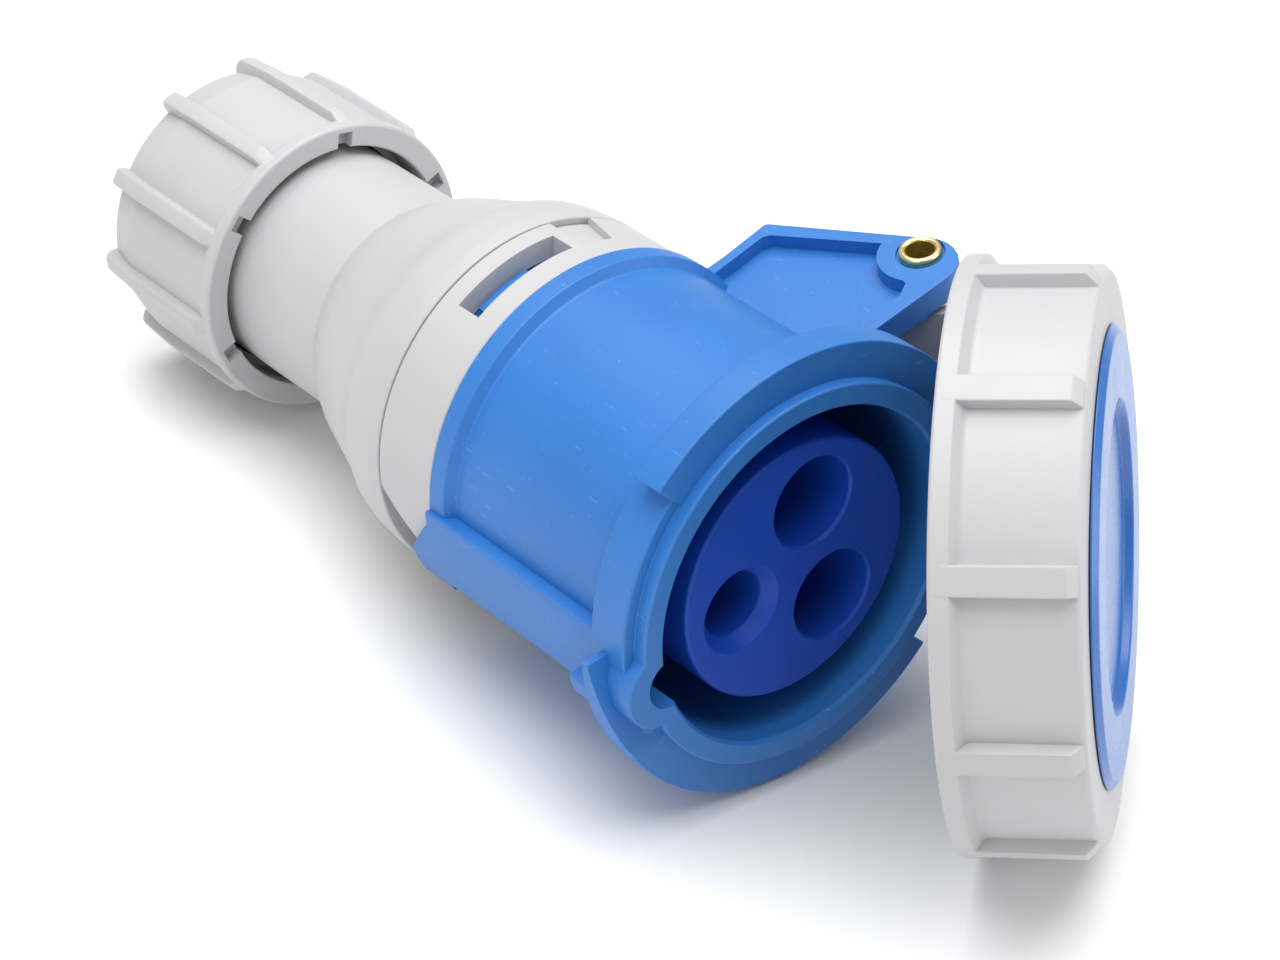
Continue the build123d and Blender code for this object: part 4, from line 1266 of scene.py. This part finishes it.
@dataclass
class CapRing:
    """Grey bayonet ring of the cap."""

    rim: float = 36.2
    rim_rear: float = 12.2
    rim_front: float = 9.8
    body: float = 34.45
    root: float = 1.2
    front: float = -4.85
    wall: float = 1.4
    mouth: float = 32.6
    inner: float = 31.2
    draft: float = 7.9
    hole: float = 26.9

    # Grip ribs.
    rib_count: int = 10
    rib_angle: float = 67.5
    rib_width: float = 3.6
    rib_end: float = 4.45
    rib_top: float = 36.18
    rib_nose: Span = (1.3, 0.3)
    rib_edge: float = 0.25

    # Bayonet lugs.
    lug: float = 29.3
    lug_root: float = 33.4
    lug_rear: float = 12.0
    lug_width: float = 2.7
    lug_edge: float = 0.2
    lug_angles: Span = (146.7, 326.7)
    lug_half: float = 15.0

    def build(self, shop: Workshop, hinge: Hinge) -> None:
        """Make the ring in place of its node.

        Args:
            shop: where the pieces are made and dressed.
            hinge: where the cap swings.
        """
        floor = self.front + self.wall
        body = Stock.lathe(profile([
            (self.rim_rear, self.mouth, 0.3), (self.rim_rear, self.rim, 0.5), (self.rim_front, self.rim, 0.3),
            (self.rim_front - self.root, self.body, 0.8), (self.front, self.body, 0.8),
            (self.front, self.hole, 0.2), (floor, self.hole), (floor, self.inner, 0.4),
            (self.rim_rear - self.draft, self.inner)]))
        rear, base = -self.rim_front - OVER, self.body - OVER
        depth, height = self.rib_nose
        outline = np.array([(rear, base), (rear, self.rib_top), (self.rib_end - depth, self.rib_top),
                            (self.rib_end, self.body + height), (self.rib_end, base)])
        rib = Stock.slab(outline, self.rib_width / 2, self.rib_edge)
        body.add(*rib.spread(self.rib_count, self.rib_angle))
        front = self.lug_rear - self.lug_width
        loop = profile([(self.lug_rear, self.lug, 0.3), (self.lug_rear, self.lug_root),
                        (front, self.lug_root), (front, self.lug, 0.3)])
        body.add(*(Stock.sector(loop, angle - self.lug_half, angle + self.lug_half, self.lug_edge)
                   for angle in self.lug_angles))
        shop.piece("cap_ring", body, GREY, "bayonet_ring", hinge.swing())


@dataclass
class CapInside:
    """Disc, carrier with its arm, and gasket of the cap."""

    # Disc and the hub that holds it.
    disc: float = 27.8
    disc_front: float = -5.95
    disc_edge: float = 0.95
    disc_chamfer: Span = (0.75, 0.9)
    hub: float = 26.5
    hub_depth: float = 1.1
    recess: float = 19.0
    recess_depth: float = 1.3
    recess_slope: float = 0.4

    # Carrier, gasket and the wall round it.
    carrier: float = 30.6
    carrier_rear: float = -1.8
    carrier_front: float = -3.2
    gasket: float = 26.2
    gasket_inner: float = 21.8
    gasket_front: float = -0.3
    gasket_gap: float = 0.05
    wall: float = 27.35
    wall_rear: float = -0.4

    # Arm. Its heel, its back and the front of its leg are x and y, and the shoulders are
    # measured from the hinge.
    arm_half: float = 7.6
    arm_edge: float = 0.15
    plate_half: float = 6.5
    plate_edge: float = 0.1
    plate_inner: float = 27.6
    plate_outer: float = 30.1
    knuckle: float = 5.2
    knuckle_top: float = 4.4
    knuckle_gap: float = 0.5
    pin_hole: float = 2.38
    heel: Span = (-17.2, 35.5)
    back: Span = (-24.5, 33.5)
    leg_front: float = -12.6
    leg_top: float = 2.5
    front_shoulder: Span = (4.6, -2.0)
    rear_shoulder: Span = (-4.9, -1.5)
    slant: Span = (-5.0, 2.8)

    def disc_part(self) -> Stock:
        """Blue disc with its bevelled edge and shallow recess.

        Returns:
            The disc of the shut cap.
        """
        back, floor = self.disc_front + self.disc_edge, self.disc_front + self.recess_depth
        hub_rear = back + self.hub_depth
        depth, width = self.disc_chamfer
        return Stock.lathe(profile([
            (hub_rear, 0), (hub_rear, self.hub, 0.1), (back, self.hub), (back, self.disc, 0.15),
            (self.disc_front + depth, self.disc, 0.3), (self.disc_front, self.disc - width, 0.5),
            (self.disc_front, self.recess, 0.35), (floor, self.recess - self.recess_slope, 0.3),
            (floor, 0)]))

    def carrier_part(self, hinge: Hinge) -> Stock:
        """Grey plate with its arm and the wall round the gasket.

        Args:
            hinge: where the cap swings.

        Returns:
            The carrier of the shut cap.
        """
        hub_front = self.disc_front + self.disc_edge + self.hub_depth
        seat = self.gasket + self.gasket_gap
        plate = Stock.lathe(profile([
            (self.carrier_rear, 0), (self.carrier_rear, seat), (self.wall_rear, seat, 0.1),
            (self.wall_rear, self.wall, 0.2), (self.carrier_rear, self.wall, 0.2),
            (self.carrier_rear, self.carrier, 0.2), (self.carrier_front, self.carrier, 0.2),
            (self.carrier_front, self.hub), (hub_front, self.hub), (hub_front, 0)]))
        return plate.add(self.arm(hinge))

    def arm(self, hinge: Hinge) -> Stock:
        """Cranked arm with a stepped, slanted lower half, its knuckle and the plate on the cap.

        Args:
            hinge: where the cap swings.

        Returns:
            The arm of the shut cap.
        """
        (heel_x, heel_y), (back_x, back_y), half = self.heel, self.back, self.arm_half
        outline = rounded([
            (back_x, back_y, 0.3), (heel_x, heel_y), (heel_x, self.plate_inner, 0.5),
            (self.leg_front, self.plate_inner), (self.leg_front, hinge.y - self.knuckle - self.leg_top, 1.5),
            *((hinge.x + x, hinge.y + y) for x, y in (self.front_shoulder, self.rear_shoulder))])
        step = Stock.plate(np.array([(back_x - OVER, back_y - OVER), (heel_x, heel_y - 0.8), self.heel,
                                     (back_x - 0.2, back_y + 0.5)]), 0, half + OVER)
        rear = back_x - 1.5 * OVER
        slant = Stock.plate(np.array([(rear, 0.0), (back_x, 0.0), (heel_x, -half), (heel_x, -half - OVER),
                                      (rear, -half - OVER)]), *self.slant)
        lying = Matrix(((1, 0, 0, 0), (0, 0, 1, 0), (0, 1, 0, 0), (0, 0, 0, 1)))
        arm = Stock.slab(outline, half, self.arm_edge)
        arm.cut(step, slant.moved(Matrix.Translation((0, back_y, 0)) @ lying))
        arm.add(hinge.pin(self.knuckle, -half, self.knuckle_top, 0.2))
        arm.cut(hinge.pin(self.knuckle + self.knuckle_gap, self.knuckle_top, half + OVER))
        rail = band(-self.leg_front + OVER, self.carrier_rear - 0.4, self.plate_inner, self.plate_outer)
        arm.add(Stock.slab(rail, self.plate_half, self.plate_edge))
        return arm.cut(hinge.pin(self.pin_hole, -half - OVER, half + OVER))

    def build(self, shop: Workshop, hinge: Hinge) -> None:
        """Make the cap's inner pieces in place of their nodes.

        Args:
            shop: where the pieces are made and dressed.
            hinge: where the cap swings.
        """
        seal = Stock.lathe(profile([
            (self.carrier_rear, self.gasket_inner, 0.3), (self.carrier_rear, self.gasket, 0.1),
            (self.gasket_front, self.gasket, 0.4), (self.gasket_front, self.gasket_inner, 0.4)]))
        shop.piece("cap_disc", self.disc_part(), DISC_BLUE, "lid_disc", hinge.swing())
        shop.piece("cap_carrier", self.carrier_part(hinge), GREY, "lid_carrier", hinge.swing())
        shop.piece("cap_gasket", seal, RUBBER, "lid_gasket", hinge.swing())


@dataclass
class HingeMetal:
    """Hollow brass rivet of the hinge."""

    radius: float = 2.3
    bore: float = 1.9
    head: float = 2.75
    face: float = 12.3
    height: float = 0.75
    sink: float = 0.45
    flare: float = 0.02

    def build(self, shop: Workshop, hinge: Hinge) -> None:
        """Make the rivet in place of its node, with rolled heads.

        Args:
            shop: where the pieces are made and dressed.
            hinge: where the cap swings.
        """
        top = self.face + self.height
        base = self.face - self.sink
        half = [(base, self.radius, 0), (base, self.head, 0.35), (top, self.head, 0.55),
                (top, self.bore - self.flare, 0.55)]
        other = [(-x, radius, edge) for x, radius, edge in reversed(half)]
        loop = rounded([*half, (0, self.bore), *other, (0, self.radius)], steps=6)
        shop.piece("rivet", hinge.upright(loop), BRASS, "hinge_eyelet")


@dataclass(frozen=True)
class SoftBox:
    """Square lamp: its place in metres, its width and its power in watts."""

    name: str
    place: Point
    size: float
    power: float

    def hang(self, aim: Vector) -> None:
        """Put the lamp into the scene, looking at a point.

        Args:
            aim: point in the frame that it lights.
        """
        data = bpy.data.lights.new(self.name, "AREA")
        data.size = self.size
        data.energy = self.power
        lamp = bpy.data.objects.new(self.name, data)
        bpy.context.scene.collection.objects.link(lamp)
        lamp.location = self.place
        lamp.rotation_euler = (aim - Vector(self.place)).to_track_quat("-Z", "Y").to_euler()


@dataclass
class Studio:
    """Camera at the photograph's viewing angle, pale floor and soft light."""

    eye: Point = (260.564, -177.885, 297.939)
    forward: Point = (-0.642571, 0.390116, -0.659478)
    upward: Point = (-0.421884, 0.538339, 0.729524)
    lens: float = 101.23
    sensor: float = 36.0
    near: float = 0.01
    far: float = 20.0
    floor_size: float = 6.0
    floor_tones: tuple[Colour, Colour] = (rgb(0.86, 0.86, 0.86), rgb(0.89, 0.89, 0.89))
    floor_clouds: float = 9.0
    floor_roughness: float = 0.55
    sky: float = 0.46
    aim: Point = (0.0, 0.0, 0.03)
    boxes: tuple[SoftBox, ...] = (
        SoftBox("top_box", (-0.08, -0.04, 0.95), 1.1, 14.0),
        SoftBox("side_box", (0.25, -0.9, 0.55), 0.6, 1.6),
        SoftBox("right_box", (0.75, 0.60, 0.35), 0.6, 2.6))

    def camera(self, axes: Axes) -> None:
        """Place the camera where the photograph was taken.

        Args:
            axes: the coupler's own axes.
        """
        data = bpy.data.cameras.new("camera")
        data.lens = self.lens
        data.sensor_width = self.sensor
        data.clip_start = self.near
        data.clip_end = self.far
        view = bpy.data.objects.new("camera", data)
        bpy.context.scene.collection.objects.link(view)
        forward, upward = axes.way(self.forward), axes.way(self.upward)
        right = forward.cross(upward)
        turn = Matrix((right, upward, -forward)).transposed().to_4x4()
        view.matrix_world = Matrix.Translation(axes.point(self.eye)) @ turn
        bpy.context.scene.camera = view

    def floor(self) -> None:
        """Lay the pale floor."""
        half = self.floor_size / 2
        corners = [(-half, -half, 0), (half, -half, 0), (half, half, 0), (-half, half, 0)]
        mesh = bpy.data.meshes.new("floor")
        mesh.from_pydata(corners, [], [(0, 1, 2, 3)])
        floor = bpy.data.objects.new("floor", mesh)
        bpy.context.scene.collection.objects.link(floor)
        make = Finisher("pale_floor")
        cloud = make.noise(make.place(), self.floor_clouds, 2, 0.5)
        make.feed(Base_Color=make.mix(cloud, *self.floor_tones))
        make.feed(Roughness=self.floor_roughness + cloud * 0.1)
        mesh.materials.append(make.material)

    def light(self) -> None:
        """Light the scene with an even sky and three soft boxes."""
        world = bpy.data.worlds.new("studio")
        world.use_nodes = True
        back = world.node_tree.nodes["Background"]
        back.inputs["Color"].default_value = rgb(1.0, 1.0, 1.0)
        back.inputs["Strength"].default_value = self.sky
        bpy.context.scene.world = world
        for box in self.boxes:
            box.hang(Vector(self.aim))
        bpy.context.scene.view_settings.view_transform = "Standard"


def main() -> None:
    """Build every piece round the frame, then the studio."""
    logging.basicConfig(level=logging.INFO, format="%(name)s %(message)s")
    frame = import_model()
    nut = GlandNut()
    hinge = Hinge()
    axes = Axes.from_joints(frame["joints"], nut.front, hinge.lean)
    shop = Workshop(frame, axes)
    FrontHousing().build(shop, hinge)
    ContactInsert().build(shop)
    LockingCollar().build(shop)
    RearSleeve().build(shop)
    nut.build(shop)
    CapRing().build(shop, hinge)
    CapInside().build(shop, hinge)
    HingeMetal().build(shop, hinge)
    plain = {"contact_retainer": INSERT_BLUE_WITH_PAINTED_SHADE, "retainer_screws": ZINC, "sleeve_seal": RUBBER,
             "clamp_cage": GREY, "cable_grommet": RUBBER, "lid_spring": STEEL}
    for pole in ("line", "neutral", "earth"):
        plain[pole + "_contact"] = BRASS
        plain[pole + "_contact_spring"] = STEEL
        plain[pole + "_terminal_screws"] = ZINC
    for node, finish in plain.items():
        shop.dress_node(node, finish)
    studio = Studio()
    studio.camera(axes)
    studio.floor()
    studio.light()


if __name__ == "__main__":
    main()
